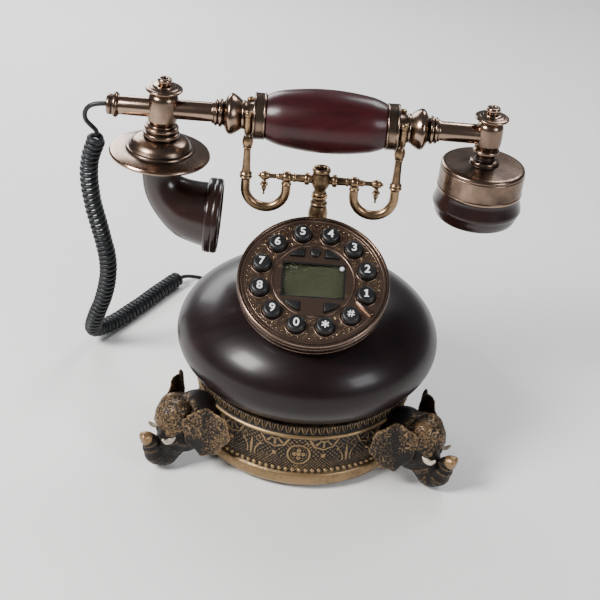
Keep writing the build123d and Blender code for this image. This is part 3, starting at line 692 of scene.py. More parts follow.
def makeReceiverCap():
    profile = [(24.4, -38.25, 0), (26.9, -38.25, 0.3), (27.0, -40.4, 0.8), (27.9, -44.4, 3),
               (29.1, -48.0, 0.8),
               (29.2, -49.8, 0.5), (28.6, -50.2, 0.15), (28.4, -50.9, 0.15), (28.2, -51.4, 0.3),
               (27.2, -55.4, 2),
               (25.6, -58.2, 1.2), (23.4, -58.95, 0.6), (16.0, -57.4, 3), (7.0, -55.9, 3), (0, -55.6),
               (0, -53.4), (22.0, -53.4, 0.4), (24.4, -50.5, 0.4)]
    cap = newPiece("receiverCap", turnedForm(profile, atRightHead, 144, closed=True), bakelite, "handset",
                   ["receiver_cap"])
    holes = bmesh.new()
    for ring, count in ((0.0, 1), (4.5, 6), (9.0, 12)):
        for number in range(count):
            made = bmesh.ops.create_cone(holes, cap_ends=True, segments=16,
                                         radius1=headValues["grilleHole"] * mm,
                                         radius2=headValues["grilleHole"] * mm, depth=12 * mm)
            turn = Matrix.Rotation(math.tau * number / count, 4,
                                   "Z") @ Matrix.Translation((ring * mm, 0, -56 * mm))
            bmesh.ops.transform(holes, matrix=atRightHead @ turn, verts=made["verts"])
    drillCap(cap, holes)


def drillCap(piece, holes):
    mesh = bpy.data.meshes.new("holes")
    holes.to_mesh(mesh)
    holes.free()
    cutter = bpy.data.objects.new("holes", mesh)
    scene.collection.objects.link(cutter)
    drill = piece.modifiers.new("drill", "BOOLEAN")
    drill.operation = "DIFFERENCE"
    drill.object = cutter
    bpy.context.view_layer.update()
    drilled = bpy.data.meshes.new_from_object(piece.evaluated_get(bpy.context.evaluated_depsgraph_get()))
    piece.modifiers.remove(drill)
    old = piece.data
    piece.data = drilled
    bpy.data.meshes.remove(old)
    bpy.data.objects.remove(cutter)
    drilled.name = piece.name


def makeHorn():
    # circles stood across the bend, bridged one to the next, then given a wall
    sections = [
        ((11.4, -27.0), (-11.4, -27.0)), ((11.0, -34.0), (-11.0, -34.0)), ((11.6, -41.5), (-10.8, -47.0)),
        ((14.0, -46.8), (-7.5, -62.0)), ((19.0, -49.4), (1.0, -76.0)), ((26.0, -50.6), (14.0, -88.0)),
        ((34.2, -50.7), (34.2, -94.3)),
    ]
    fine = smoothPairs(sections, 5)
    bm = bmesh.new()
    before = None
    for (xi, zi), (xo, zo) in fine:
        centre = Vector(((xi + xo) / 2, 0, (zi + zo) / 2)) * mm
        across = Vector((0, 1, 0))
        ahead = Vector((zi - zo, 0, xo - xi)).normalized()
        turn = Matrix((across, ahead.cross(across), ahead)).transposed().to_4x4()
        radius = math.dist((xi, zi), (xo, zo)) / 2 * mm
        made = bmesh.ops.create_circle(bm, segments=80, radius=radius)
        bmesh.ops.transform(bm, matrix=Matrix.Translation(centre) @ turn, verts=made["verts"])
        edges = list({edge for vert in made["verts"] for edge in vert.link_edges})
        if before:
            bmesh.ops.bridge_loops(bm, edges=before + edges)
        before = edges
    bmesh.ops.recalc_face_normals(bm, faces=bm.faces[:])
    bmesh.ops.solidify(bm, geom=bm.faces[:], thickness=headValues["hornWall"] * mm)
    bm.transform(atLeftHead)
    mouth = atLeftHead @ Matrix.Translation((0, 0, -72.5 * mm)) @ Matrix.Rotation(math.radians(90), 4, "Y")
    rim = [(19.6, 33.4, 0.3), (22.2, 33.0, 0.3), (24.4, 33.6, 0.6), (25.1, 34.8, 0.6), (25.2, 38.0, 0.8),
           (24.9, 38.6, 0.15),
           (25.2, 39.2, 0.4), (25.2, 41.8, 0.9), (24.2, 43.1, 0.6), (22.9, 43.2, 0.5), (22.0, 41.6, 1.5),
           (20.6, 37.6, 2), (19.7, 34.6, 0.5)]
    newPiece("mouthpieceHorn", joined(bm, turnedForm(rim, mouth, 112, closed=True)), bakelite, "handset",
             ["mouthpiece_horn"], 45)


def smoothPairs(sections, parts):
    # more sections between the given ones, along an even curve
    flat = [(*a, *b) for a, b in sections]
    fine = []
    for number in range(len(flat) - 1):
        four = [flat[max(number - 1, 0)], flat[number], flat[number + 1], flat[min(number + 2, len(flat) - 1)]]
        for part in range(parts):
            t = part / parts
            row = []
            for p0, p1, p2, p3 in zip(*four):
                row.append(0.5 * (2 * p1 + (p2 - p0) * t + (2 * p0 - 5 * p1 + 4 * p2 - p3) * t * t
                                  + (3 * p1 - p0 - 3 * p2 + p3) * t ** 3))
            fine.append(((row[0], row[1]), (row[2], row[3])))
    fine.append(sections[-1])
    return fine


makeHeads()
makeReceiverCap()
makeHorn()
paintNode("microphone", innerPlastic)
paintNode("receiver_speaker", innerPlastic)
print("handset made")


# cradle and its post
cradleValues = {"ball": 22.4, "end": 37.0, "hook": 49.3, "hookRod": 3.0, "drop": 9.6, "saddle": 11.8,
                "neck": 41.5}


def makeHub():
    profile = [(0, -87.7), (3.0, -87.7, 0.2), (3.0, -34.0, 0), (4.4, -34.0, 0.2), (4.4, -32.0, 0.2),
               (3.0, -32.0, 0),
               (3.0, -10.4, 0), (4.6, -10.4, 0.3), (4.7, -9.2, 0.3), (3.9, -8.6, 0.2), (4.0, -6.6, 0.6),
               (5.0, -5.0, 0.8), (6.2, -2.4, 1.6), (6.5, 0, 2), (6.2, 2.6, 1.4), (5.5, 4.4, 0.6),
               (5.3, 5.6, 0.3),
               (6.0, 6.3, 0.3), (6.1, 7.6, 0.4), (5.4, 8.8, 0.5), (4.0, 8.8, 0.4), (3.4, 8.0, 0.3),
               (3.3, 3.0, 0.3),
               (0, 2.4)]
    newPiece("cradleHub", turnedForm(profile, atCradle, 72), cradleBronze, "cradle", ["cradle_hub"])


def hookForm():
    # one arm, out along +X
    v = cradleValues
    along = Matrix.Rotation(math.radians(90), 4, "Y")
    forms = []
    arm = [(0, 4.8), (2.7, 4.8, 0.1), (2.7, 7.4, 0.1), (3.9, 7.6, 0.3), (4.2, 9.1, 0.5), (3.9, 10.6, 0.3),
           (2.7, 10.8, 0.1), (2.5, 16.6, 1), (2.9, 17.2, 0.2), (2.9, 18.0, 0.2), (2.4, 18.4, 0.1),
           (2.4, 19.6, 0.1),
           (3.5, 20.4, 0.6), (3.95, 22.4, 1.2), (3.5, 24.4, 0.6), (2.2, 25.4, 0.2), (2.2, 28.0, 0.4),
           (1.7, 28.6, 0.2), (1.5, 29.2, 0.1), (1.5, 33.4, 0.1), (2.3, 34.2, 0.4), (3.15, 36.9, 1.1),
           (2.3, 39.4, 0.6), (1.1, 40.2, 0.3), (0.9, 41.2, 0.3), (0, 41.4)]
    forms.append(turnedForm(arm, along, 48))
    middle = (v["ball"] + v["hook"]) / 2
    bend = (v["hook"] - v["ball"]) / 2
    points = [(v["ball"], 0, -2.0), (v["ball"], 0, -v["drop"] * 0.6)]
    for number in range(25):
        angle = math.pi * (1 + number / 24)
        points.append((middle + bend * math.cos(angle), 0, -v["drop"] + bend * math.sin(angle)))
    points += [(v["hook"], 0, -v["drop"] * 0.6), (v["hook"], 0, -1.0)]
    radii = [v["hookRod"] * (1 + 0.06 * math.sin(math.pi * n / (len(points) - 1))) for n in range(len(points))]
    forms.append(sweptForm(points, radii, 24))
    place = Matrix.Translation((v["ball"] * mm, 0, 0))
    forms.append(turnedForm([(0, -5.6), (3.1, -5.6, 0.2), (3.6, -4.9, 0.3), (3.1, -4.0, 0.3), (2.6, -3.0, 0.2),
                             (0, -2.4)], place, 36))
    upright = [(0, -3.2), (3.1, -3.2, 0.2), (3.6, -2.5, 0.3), (4.4, -1.6, 0.5), (3.7, -0.7, 0.3),
               (3.6, -0.2, 0.15),
               (4.2, 0.5, 0.4), (3.5, 1.5, 0.4), (2.9, 2.2, 0.3), (2.55, 8.0, 2), (2.3, 18.4, 0.5),
               (2.9, 18.9, 0.2), (2.9, 19.6, 0.2), (2.5, 20.0, 0.1), (3.3, 20.9, 0.3), (3.7, 23.4, 1.2),
               (3.2, 26.2, 0.8), (2.6, 27.6, 0.3), (2.4, 29.0, 0.2), (0, 29.2)]
    forms.append(turnedForm(upright, Matrix.Translation((v["hook"] * mm, 0, 0)), 48))
    saddle, neck = v["saddle"], v["neck"]
    fork = [(v["hook"], -saddle, neck + 4.9), (v["hook"], -saddle, neck + 3), (v["hook"], -saddle, neck + 1.2)]
    for number in range(19):
        angle = math.pi * (1 + number / 18)
        fork.append((v["hook"], saddle * math.cos(angle), neck + saddle * math.sin(angle)))
    fork += [(v["hook"], saddle, neck + 1.2), (v["hook"], saddle, neck + 3), (v["hook"], saddle, neck + 4.9)]
    last = len(fork) - 1
    forms.append(sweptForm(fork, [2.0 + 0.42 * math.sin(math.pi * n / last) for n in range(last + 1)], 20))
    for side in (-1, 1):
        tip = [(0, 3.8), (2.0, 3.8, 0.2), (2.35, 4.6, 0.5), (2.65, 6.2, 1.0), (2.2, 7.8, 0.8), (0, 8.4)]
        place = Matrix.Translation((v["hook"] * mm, side * saddle * mm, (neck - 0.4) * mm))
        forms.append(turnedForm(tip, place, 32))
    return joined(*forms)


def makeHooks():
    for name, node, turn in (("cradleHookRight", "cradle_hook_right", 0),
                             ("cradleHookLeft", "cradle_hook_left", 180)):
        bm = hookForm()
        bm.transform(atCradle @ Matrix.Rotation(math.radians(turn), 4, "Z"))
        newPiece(name, bm, cradleBronze, "cradle", [node])
    profile = [(0, -14.2), (0.7, -13.3, 0.2), (0.9, -12.6, 0.2), (0.5, -11.9, 0.1), (1.2, -10.2, 0.5),
               (1.8, -8.7, 0.5),
               (1.3, -7.8, 0.2), (1.2, -7.4, 0.1), (2.6, -6.7, 0.2), (2.8, -6.1, 0.2), (2.5, -5.5, 0.2),
               (1.3, -5.0, 0.1), (1.6, -4.1, 0.3), (1.2, -3.3, 0.2), (0, -3.0)]
    forms = [turnedForm(profile, atCradle @ Matrix.Translation((side * cradleValues["end"] * mm, 0, 0)), 32)
             for side in (-1, 1)]
    newPiece("dropFinials", joined(*forms), cradleBronze, "cradle", ["drop_finials"])


def makePost():
    place = Matrix.Translation((0, postCentre.y, 0))
    profile = [(3.3, 104.0, 0), (7.0, 104.0, 0.2), (7.0, 118.5, 0), (10.5, 118.5, 0.3), (10.5, 123.0, 0.6),
               (9.4, 124.6, 0.8), (8.4, 126.0, 0.5), (7.2, 129.0, 1.5), (6.5, 136.0, 3), (6.4, 146.0, 1),
               (7.1, 147.0, 0.3), (7.1, 148.2, 0.4), (6.2, 149.0, 0.3), (5.6, 152.0, 1), (6.4, 156.4, 2),
               (6.5, 160.0, 2), (5.7, 164.0, 1.2), (4.9, 166.0, 0.4), (5.6, 166.6, 0.3), (5.7, 167.6, 0.3),
               (4.8, 168.2, 0.3), (4.4, 170.4, 0.8), (5.3, 171.4, 0.3), (5.4, 173.2, 0.4), (3.3, 173.2, 0.1)]
    newPiece("stemPost", turnedForm(profile, place, 72, closed=True), cradleBronze, "base", ["stem_post"])


makeHub()
makeHooks()
makePost()
for inside in ("stem_nut", "hook_switch", "hook_spring"):
    paintNode(inside, innerPlastic if inside == "hook_switch" else cradleBronze)
print("cradle made")


# body
bodyValues = {"radius": 89, "half": 44, "centre": 79, "seat": 50.05}


def makeBody():
    bm = bmesh.new()
    bmesh.ops.create_uvsphere(bm, u_segments=160, v_segments=96, radius=bodyValues["radius"] * mm)
    flat = bodyValues["half"] / bodyValues["radius"]
    bmesh.ops.scale(bm, vec=(1, 1, flat), verts=bm.verts[:])
    bmesh.ops.translate(bm, vec=(0, 0, bodyValues["centre"] * mm), verts=bm.verts[:])
    cut = bmesh.ops.bisect_plane(bm, geom=bm.verts[:] + bm.edges[:] + bm.faces[:],
                                 plane_co=(0, 0, bodyValues["seat"] * mm), plane_no=(0, 0, 1),
                                 clear_inner=True)
    rim = [item for item in cut["geom_cut"] if isinstance(item, bmesh.types.BMEdge)]
    bmesh.ops.contextual_create(bm, geom=rim)
    bmesh.ops.recalc_face_normals(bm, faces=bm.faces[:])
    newPiece("bodyShell", bm, bodyLacquer, "base", ["body_shell"], 50)


makeBody()
print("body made")


# dial: housing, faceplate and its scrollwork
dialValues = {
    "radius": 49, "face": 46.6, "faceTop": -1.2, "plate": 2.0, "keyCircle": 35, "keyHole": 6.45, "panel": 26.4,
    "window": (41, 26),
}


def makeHousing():
    profile = [(46.75, -3.2, 0), (46.75, -0.8, 0.15), (47.1, -0.1, 0.2), (48.1, 0, 0.35), (48.8, -0.5, 0.35),
               (49.0, -1.4, 0.3), (49.0, -3.0, 0.15), (48.5, -3.3, 0.12), (48.5, -3.8, 0.12),
               (49.0, -4.1, 0.15),
               (49.0, -8.0, 0.15), (48.5, -8.3, 0.12), (48.5, -8.9, 0.12), (48.8, -9.2, 0.15),
               (48.6, -10.3, 0.5),
               (46.2, -11.6, 1), (43.6, -15.3, 2.5), (37.0, -21.5, 4), (32.4, -26.1, 2), (27.0, -31.0, 2),
               (27.0, -44.0, 0), (24.6, -44.0, 0), (24.6, -29.6, 0), (30.8, -23.9, 0), (41.8, -13.4, 0),
               (44.8, -10.4, 0), (44.8, -3.2, 0)]
    newPiece("dialHousing", turnedForm(profile, atDial, 180, closed=True), dialBronze, "base",
             ["dial_housing"])


def fillOutline(curveSet, depth):
    # closed outlines, in millimetres on the dial, filled between and thickened downwards
    data = bpy.data.curves.new("outline", "CURVE")
    data.dimensions = "2D"
    data.fill_mode = "BOTH"
    data.extrude = depth * mm / 2
    data.resolution_u = 1
    for outline in curveSet:
        spline = data.splines.new("POLY")
        spline.points.add(len(outline) - 1)
        for control, (x, y) in zip(spline.points, outline):
            control.co = (x * mm, y * mm, 0, 1)
        spline.use_cyclic_u = True
    thing = bpy.data.objects.new("outline", data)
    scene.collection.objects.link(thing)
    bpy.context.view_layer.update()
    mesh = bpy.data.meshes.new_from_object(thing.evaluated_get(bpy.context.evaluated_depsgraph_get()))
    bpy.data.objects.remove(thing)
    bm = bmesh.new()
    bm.from_mesh(mesh)
    bpy.data.meshes.remove(mesh)
    bmesh.ops.remove_doubles(bm, verts=bm.verts[:], dist=0.001 * mm)
    return bm


def circleOutline(x, y, radius, count):
    return [(x + radius * math.cos(math.tau * n / count), y + radius * math.sin(math.tau * n / count))
            for n in range(count)]


def clippedBox(x0, x1, y0, y1, reach):
    # a rectangle with the part outside a circle about the dial's centre cut away
    far = [(x, y) for x in (x0, x1) for y in (y0, y1) if math.hypot(x, y) > reach]
    points = []
    for x, y, horizontal in ((x0, y0, 1), (x1, y0, 0), (x1, y1, 1), (x0, y1, 0)):
        if (x, y) not in far:
            points.append((x, y))
    if far:
        side = math.copysign(1, y0 + y1)
        for n in range(13):
            x = x0 + (x1 - x0) * n / 12
            limit = max(abs(y0), abs(y1))
            y = side * min(limit, math.sqrt(max(reach * reach - x * x, 0)))
            if min(y0, y1) <= y <= max(y0, y1):
                points.append((x, y))
    middle = (sum(p[0] for p in points) / len(points), sum(p[1] for p in points) / len(points))
    points = sorted(set(points), key=lambda p: math.atan2(p[1] - middle[1], p[0] - middle[0]))
    return points


panelKeys = {
    "panel_key_top_left": (-15.8, -6.8, 17.4, 24.0), "panel_key_top_right": (6.8, 15.8, 17.4, 24.0),
    "panel_key_bottom_left": (-17.2, -7.8, -23.0, -16.3), "panel_key_bottom_right": (7.8, 17.2, -23.0, -16.3),
}


def makeFaceplate():
    v = dialValues
    outlines = [circleOutline(0, 0, v["face"], 180)]
    for number in range(12):
        angle = math.radians(30 * number - 15)
        outlines.append(circleOutline(v["keyCircle"] * math.cos(angle), v["keyCircle"] * math.sin(angle),
                                      v["keyHole"], 40))
    for box in panelKeys.values():
        outlines.append(clippedBox(box[0] - 0.3, box[1] + 0.3, box[2] - 0.3, box[3] + 0.3, 24.7))
    outlines.append(circleOutline(0, 20.8, 3.5, 32))
    w, h = v["window"][0] / 2, v["window"][1] / 2
    outlines.append([(-w, -h), (w, -h), (w, h), (-w, h)])
    bm = fillOutline(outlines, v["plate"])
    bmesh.ops.recalc_face_normals(bm, faces=bm.faces[:])
    middle = v["faceTop"] - v["plate"] / 2
    bm.transform(atDial @ Matrix.Translation((0, 0, middle * mm)))
    top = v["faceTop"]
    rings = [turnedForm([(v["panel"] - 0.9, top - 0.1, 0), (v["panel"] - 0.5, top + 0.6, 0.2),
                         (v["panel"] + 0.4, top + 0.7, 0.2), (v["panel"] + 0.9, top - 0.1, 0)], atDial, 144,
                         closed=True),
             turnedForm([(44.7, top - 0.1, 0), (45.0, top + 0.45, 0.15), (46.55, top + 0.6, 0.2),
                         (46.55, top - 0.1, 0)], atDial, 180, closed=True),
             turnedForm([(43.2, top - 0.1, 0), (43.4, top + 0.2, 0.08), (43.8, top + 0.2, 0.08),
                         (44.0, top - 0.1, 0)], atDial, 180, closed=True)]
    for number in range(12):
        angle = math.radians(30 * number - 15)
        place = atDial @ Matrix.Translation((v["keyCircle"] * math.cos(angle) * mm,
                                             v["keyCircle"] * math.sin(angle) * mm, 0))
        rings.append(turnedForm([(6.46, top - 0.1, 0), (6.5, top + 0.45, 0.12), (7.05, top + 0.5, 0.15),
                                 (7.4, top - 0.1, 0)], place, 40, closed=True))
    newPiece("dialFaceplate", joined(bm, *rings), dialFace, "base", ["dial_faceplate"], 30)


def scrollForm(place, size, turn, flip):
    # a leafy scroll: a spiral that winds in, with a bud at its eye
    points = []
    radii = []
    for n in range(15):
        t = n / 14
        angle = flip * (t * 1.45 * math.tau)
        reach = size * (1 - 0.82 * t)
        points.append((reach * math.cos(angle), reach * math.sin(angle), 0))
        radii.append(0.16 + 0.3 * t * size / 3)
    bm = sweptForm(points, radii, 5)
    bmesh.ops.scale(bm, vec=(1, 1, 0.8), verts=bm.verts[:])
    bm.transform(place @ Matrix.Rotation(turn, 4, "Z"))
    return bm


def makeScrollwork():
    v = dialValues
    top = Matrix.Translation((0, 0, (v["faceTop"] + 0.02) * mm))
    forms = []
    for number in range(12):
        middle = math.radians(30 * number)
        if number == 11:
            continue
        for reach, spread, size, flip in ((40.6, 3.4, 2.3, 1), (40.6, -3.4, 2.3, -1), (30.2, 2.6, 1.9, -1),
                                          (30.2, -2.6, 1.9, 1), (35.4, 0, 1.5, 1)):
            angle = middle + math.radians(spread)
            place = atDial @ top @ Matrix.Translation((reach * math.cos(angle) * mm,
                                                       reach * math.sin(angle) * mm, 0))
            forms.append(scrollForm(place, size, angle + flip * 1.1, flip))
    for number in range(72):
        angle = math.tau * number / 72
        if abs(math.degrees(angle) - 329) < 9:
            continue
        place = atDial @ top @ Matrix.Translation((42.4 * math.cos(angle) * mm, 42.4 * math.sin(angle) * mm,
                                                   0))
        leaf = bmesh.new()
        bmesh.ops.create_icosphere(leaf, subdivisions=1, radius=0.55 * mm)
        bmesh.ops.scale(leaf, vec=(0.7, 1.5, 0.6), verts=leaf.verts[:])
        leaf.transform(place @ Matrix.Rotation(angle + (0.5 if number % 2 else -0.5), 4, "Z"))
        forms.append(leaf)
    for side, high in ((-1, 1), (1, 1), (-1, -1), (1, -1)):
        place = atDial @ top @ Matrix.Translation((side * 21.6 * mm, high * 9.4 * mm, 0))
        if side == 1 and high == 1:
            continue
        forms.append(scrollForm(place, 1.5, 0.6 * side, side * high))
    newPiece("dialScrolls", joined(*forms), scrollGilt, "base", (), 60)


def makeFingerStop():
    v = dialValues
    outline = [(31.4, -27.6), (30.2, -24.6), (33.0, -24.4), (44.2, -27.6), (45.0, -30.2), (44.0, -32.4)]
    turned = [(r * math.cos(math.radians(a)), r * math.sin(math.radians(a))) for r, a in outline]
    bm = fillOutline([turned], 2.2)
    bmesh.ops.recalc_face_normals(bm, faces=bm.faces[:])
    top = [edge for edge in bm.edges if len(edge.link_faces) == 2
           and all(vert.co.z > 0 for vert in edge.verts) and edge.calc_face_angle(0) > 0.5]
    bmesh.ops.bevel(bm, geom=top, offset=0.55 * mm, offset_type="OFFSET", segments=3, profile=0.5,
                    affect="EDGES", material=-1)
    bm.transform(atDial @ Matrix.Translation((0, 0, (v["faceTop"] + 1.2) * mm)))
    newPiece("fingerStop", bm, dialBronze, "base", ["finger_stop"])


scrollGilt = finishWith("scrollGilt", tarnish, 0.3, 0.08, {"Metallic": 1.0},
                        Bright=(0.42, 0.31, 0.19), Dark=(0.05, 0.03, 0.02), Cloud_Scale=520, Edge=1.4,
                        Tarnish=0.8, Roughness=0.25)
dialFace = finishWith("dialFace", tarnish, 0.6, 0.25, {"Metallic": 1.0},
                      Bright=(0.25, 0.172, 0.13), Dark=(0.05, 0.034, 0.026), Cloud_Scale=420, Edge=1.9,
                      Tarnish=0.6, Roughness=0.3)
makeHousing()
makeFaceplate()
makeScrollwork()
makeFingerStop()
print("dial made")


# dial: keys, figures and display
keyLabels = {"1": "1", "2": "2", "3": "3", "4": "4", "5": "5", "6": "6", "7": "7", "8": "8", "9": "9",
             "0": "0",
             "star": "*", "hash": "#"}
figureValues = {"size": 8.0, "thick": 0.12, "bold": 0.017, "top": 3.6}
# each stroke is its middle, its length, its width and its turn in degrees
strokes = {
    "1": [(0.2, 0, 5.5, 1.25, 90), (-0.7, 1.95, 1.8, 0.8, 35), (0.2, -2.4, 3.0, 0.7, 0)],
    "*": [(0, 0, 5.0, 0.95, 90), (0, 0, 5.0, 0.95, 30), (0, 0, 5.0, 0.95, -30)],
    "#": [(-0.85, 0, 4.9, 0.6, 80), (0.85, 0, 4.9, 0.6, 80), (0, 0.85, 4.4, 0.6, 0), (0, -0.85, 4.4, 0.6, 0)],
}
figurePaint = finishWith("figurePaint", orangePeel, 0.15, 0.05, {},
                         Tint=(0.86, 0.87, 0.88), Shade=(0.74, 0.75, 0.76), Wave_Scale=1200, Figure_Scale=240,
                         Roughness=0.5)


def figureForm(text, size):
    data = bpy.data.curves.new("figure", "FONT")
    data.body = text
    data.size = size * mm
    data.offset = figureValues["bold"] * size * mm
    data.extrude = figureValues["thick"] * mm
    data.align_x = "CENTER"
    data.resolution_u = 4
    thing = bpy.data.objects.new("figure", data)
    scene.collection.objects.link(thing)
    bpy.context.view_layer.update()
    mesh = bpy.data.meshes.new_from_object(thing.evaluated_get(bpy.context.evaluated_depsgraph_get()))
    bpy.data.objects.remove(thing)
    bm = bmesh.new()
    bm.from_mesh(mesh)
    bpy.data.meshes.remove(mesh)
    bmesh.ops.remove_doubles(bm, verts=bm.verts[:], dist=0.001 * mm)
    low = Vector([min(vert.co[axis] for vert in bm.verts) for axis in range(3)])
    high = Vector([max(vert.co[axis] for vert in bm.verts) for axis in range(3)])
    bmesh.ops.translate(bm, vec=-(low + high) / 2, verts=bm.verts[:])
    return bm


def strokeForm(label):
    bm = bmesh.new()
    for number, (x, y, length, width, turn) in enumerate(strokes[label]):
        tall = 2 * figureValues["thick"] + 0.02 * number
        place = (Matrix.Translation((x * mm, y * mm, 0)) @ Matrix.Rotation(math.radians(turn), 4, "Z")
                 @ Matrix.Diagonal((length * mm, width * mm, tall * mm, 1)))
        bmesh.ops.create_cube(bm, size=1, matrix=place)
    return bm


def makeNumberKeys():
    profile = [(0, -4.7), (7.1, -4.7, 0.1), (7.1, -3.5, 0.1), (6.1, -3.5, 0), (6.1, 1.3, 0.3),
               (5.95, 2.2, 0.7),
               (5.3, 3.15, 0.5), (4.5, 3.6, 0.6), (0, 3.6)]
    for number, (name, label) in enumerate(keyLabels.items()):
        angle = math.radians(30 * number - 15)
        place = atDial @ Matrix.Translation((dialValues["keyCircle"] * math.cos(angle) * mm,
                                             dialValues["keyCircle"] * math.sin(angle) * mm, 0))
        node = "key_" + name
        newPiece("numberKey_" + name, turnedForm(profile, place, 56), keyPlastic, node, [node])
        figure = strokeForm(label) if label in strokes else figureForm(label, figureValues["size"])
        figure.transform(place @ Matrix.Translation((0, 0, figureValues["top"] * mm)))
        newPiece("figure_" + name, figure, figurePaint, node, (), 30)


def bevelledCap(outline, place):
    bm = fillOutline([outline], 5.2)
    bmesh.ops.recalc_face_normals(bm, faces=bm.faces[:])
    top = [edge for edge in bm.edges if all(vert.co.z > 0 for vert in edge.verts)
           and len(edge.link_faces) == 2 and edge.calc_face_angle(0) > 0.5]
    bmesh.ops.bevel(bm, geom=top, offset=0.45 * mm, offset_type="OFFSET", segments=3, profile=0.5,
                    affect="EDGES", material=-1)
    bm.transform(place @ Matrix.Translation((0, 0, -2.1 * mm)))
    return bm


def makePanelKeys():
    for node, box in panelKeys.items():
        bm = bevelledCap(clippedBox(*box, 24.4), atDial)
        newPiece(node.replace("panel_key", "panelKey"), bm, keyPlastic, node, [node])
    profile = [(0, -4.7), (3.95, -4.7, 0.1), (3.95, -3.5, 0.1), (3.2, -3.5, 0), (3.2, 0, 0.4), (2.4, 0.5, 0.3),
               (0, 0.75)]
    node = "panel_key_top_middle"
    newPiece("panelKey_top_middle", turnedForm(profile, atDial @ Matrix.Translation((0, 20.8 * mm, 0)), 40),
             keyPlastic, node, [node])


def makeDisplay():
    glass = bpy.data.materials.new("displayGlass")
    glass.use_nodes = True
    tree = glass.node_tree
    surface = tree.nodes["Principled BSDF"]
    surface.inputs["Base Color"].default_value = (0.93, 0.96, 0.94, 1)
    surface.inputs["Transmission Weight"].default_value = 1.0
    surface.inputs["IOR"].default_value = 1.15
    smear = addNode(tree, "ShaderNodeTexNoise", Scale=120, Detail=3)
    rough = addMath(tree, "ADD", 0.05, addMath(tree, "MULTIPLY", smear.outputs["Fac"], 0.08))
    tree.links.new(rough, surface.inputs["Roughness"])
    paintNode("display_lens", glass)
    panel = finishWith("lcdPanel", orangePeel, 0.05, 0.05, {},
                       Tint=(0.082, 0.08, 0.046), Shade=(0.07, 0.069, 0.04), Wave_Scale=400, Figure_Scale=25,
                       Roughness=0.3)
    paintNode("lcd_module", panel)
    led = finishWith("callLed", orangePeel, 0.1, 0.05, {"Coat Weight": 0.5},
                     Tint=(0.8, 0.82, 0.84), Shade=(0.66, 0.68, 0.7), Wave_Scale=800, Figure_Scale=300,
                     Roughness=0.2)
    paintNode("call_led", led)
    mat = finishWith("keypadMat", orangePeel, 0.2, 0.1, {}, Tint=(0.05, 0.05, 0.05), Shade=(0.03, 0.03, 0.03),
                     Wave_Scale=700, Figure_Scale=60, Roughness=0.6)
    paintNode("keypad_mat", mat)
    paintNode("keypad_board", mat)
    v = dialValues
    w, h = v["window"][0] / 2, v["window"][1] / 2
    frameBar = [(-w, -h), (w, -h), (w, h), (-w, h)]
    inner = [(-w + 1.1, -h + 1.0), (w - 1.1, -h + 1.0), (w - 1.1, h - 1.0), (-w + 1.1, h - 1.0)]
    bm = fillOutline([frameBar, inner], 0.5)
    bmesh.ops.recalc_face_normals(bm, faces=bm.faces[:])
    bm.transform(atDial @ Matrix.Translation((0, 0, (v["faceTop"] - 0.55) * mm)))
    newPiece("displayFrame", bm, keyPlastic, "base", (), 30)


makeNumberKeys()
makePanelKeys()
makeDisplay()
print("keys and display made")


# plinth
plinthValues = {
    "turns": 840, "rowHeight": 0.6, "wall": 72.5, "leaves": 84, "shells": 14, "shellHalf": 10.3,
    "shellDrop": 10.6,
    "shellTop": 42.3, "medallion": 7.3, "medallionZ": 28.4, "beads": 105, "beadRadius": 1.5, "beadZ": 16.1,
}


def ridge(value, middle, half):
    return max(0, 1 - ((value - middle) / half) ** 2)


def leafRelief(angle, z):
    # a row of downward pointing leaves with a raised edge and a rib
    v = plinthValues
    pitch = math.tau / v["leaves"]
    side = abs((angle / pitch) % 1 - 0.5) * pitch * v["wall"]
    rise = (z - 45.4) / 4.2
    half = 2.4 * math.sqrt(max(rise, 0.0001))
    share = side / half
    return max(0.75 * ridge(share, 0.8, 0.3), 0.7 * ridge(side, 0, 0.55) * min(1, rise * 2))


def shellRelief(side, z):
    # a ribbed fan that hangs from the rim, with a volute at each end
    v = plinthValues
    drop = v["shellTop"] - z
    reach = math.hypot(side / v["shellHalf"], drop / v["shellDrop"])
    spread = math.atan2(side, max(drop, 0.01))
    lobes = math.cos(spread * 9)
    scallop = reach + 0.035 * (1 - lobes)
    height = max(0.95 * ridge(scallop, 0.93, 0.1), 0.6 * ridge(reach, 0.3, 0.12))
    if scallop < 0.84 and reach > 0.36:
        height = max(height, (0.2 + 0.55 * max(0, lobes)) * min(1, (0.84 - scallop) * 14 + 0.2))
    curlX = abs(side) - 11.1
    curlY = drop - 6.6
    away = math.hypot(curlX, curlY)
    if away < 2.9:
        height = max(height, 0.85 * max(0, math.cos(math.tau * away / 1.9 - math.atan2(curlY, curlX))))
    return height


def medallionRelief(side, z):
    v = plinthValues
    up = z - v["medallionZ"]
    away = math.hypot(side, up)
    turn = math.atan2(up, side)
    if away > v["medallion"] + 1.1:
        return None
    height = max(1.15 * ridge(away, v["medallion"], 0.95), 0.75 * ridge(away, 5.6, 0.4))
    petal = 5.0 * math.sqrt(abs(math.cos(2 * turn)))
    if away < petal:
        height = max(height, 0.75 * ridge(away / petal, 0.62, 0.5))
    if away < 1.5:
        height = 0.95
    corner = math.hypot(abs(side) - 3.0, abs(up) - 3.0)
    return max(height, 0.6 * ridge(corner, 0, 0.9))


def fleurRelief(side, z):
    # three leaves on a stem, in the gaps that have no medallion
    up = z - 27.4
    middle = ridge(side, 0, max(0.1, 1.9 * ridge(up, 0.6, 7.0))) if abs(up - 0.6) < 7 else 0
    bend = abs(side) - 2.6 - 0.07 * (up + 3) ** 2
    wing = ridge(bend, 0, 1.1) if -5.5 < up < 4.2 else 0
    bud = ridge(math.hypot(abs(side) - 6.4, up - 4.4), 0, 1.5)
    return 0.85 * max(middle, wing * 0.85, bud)


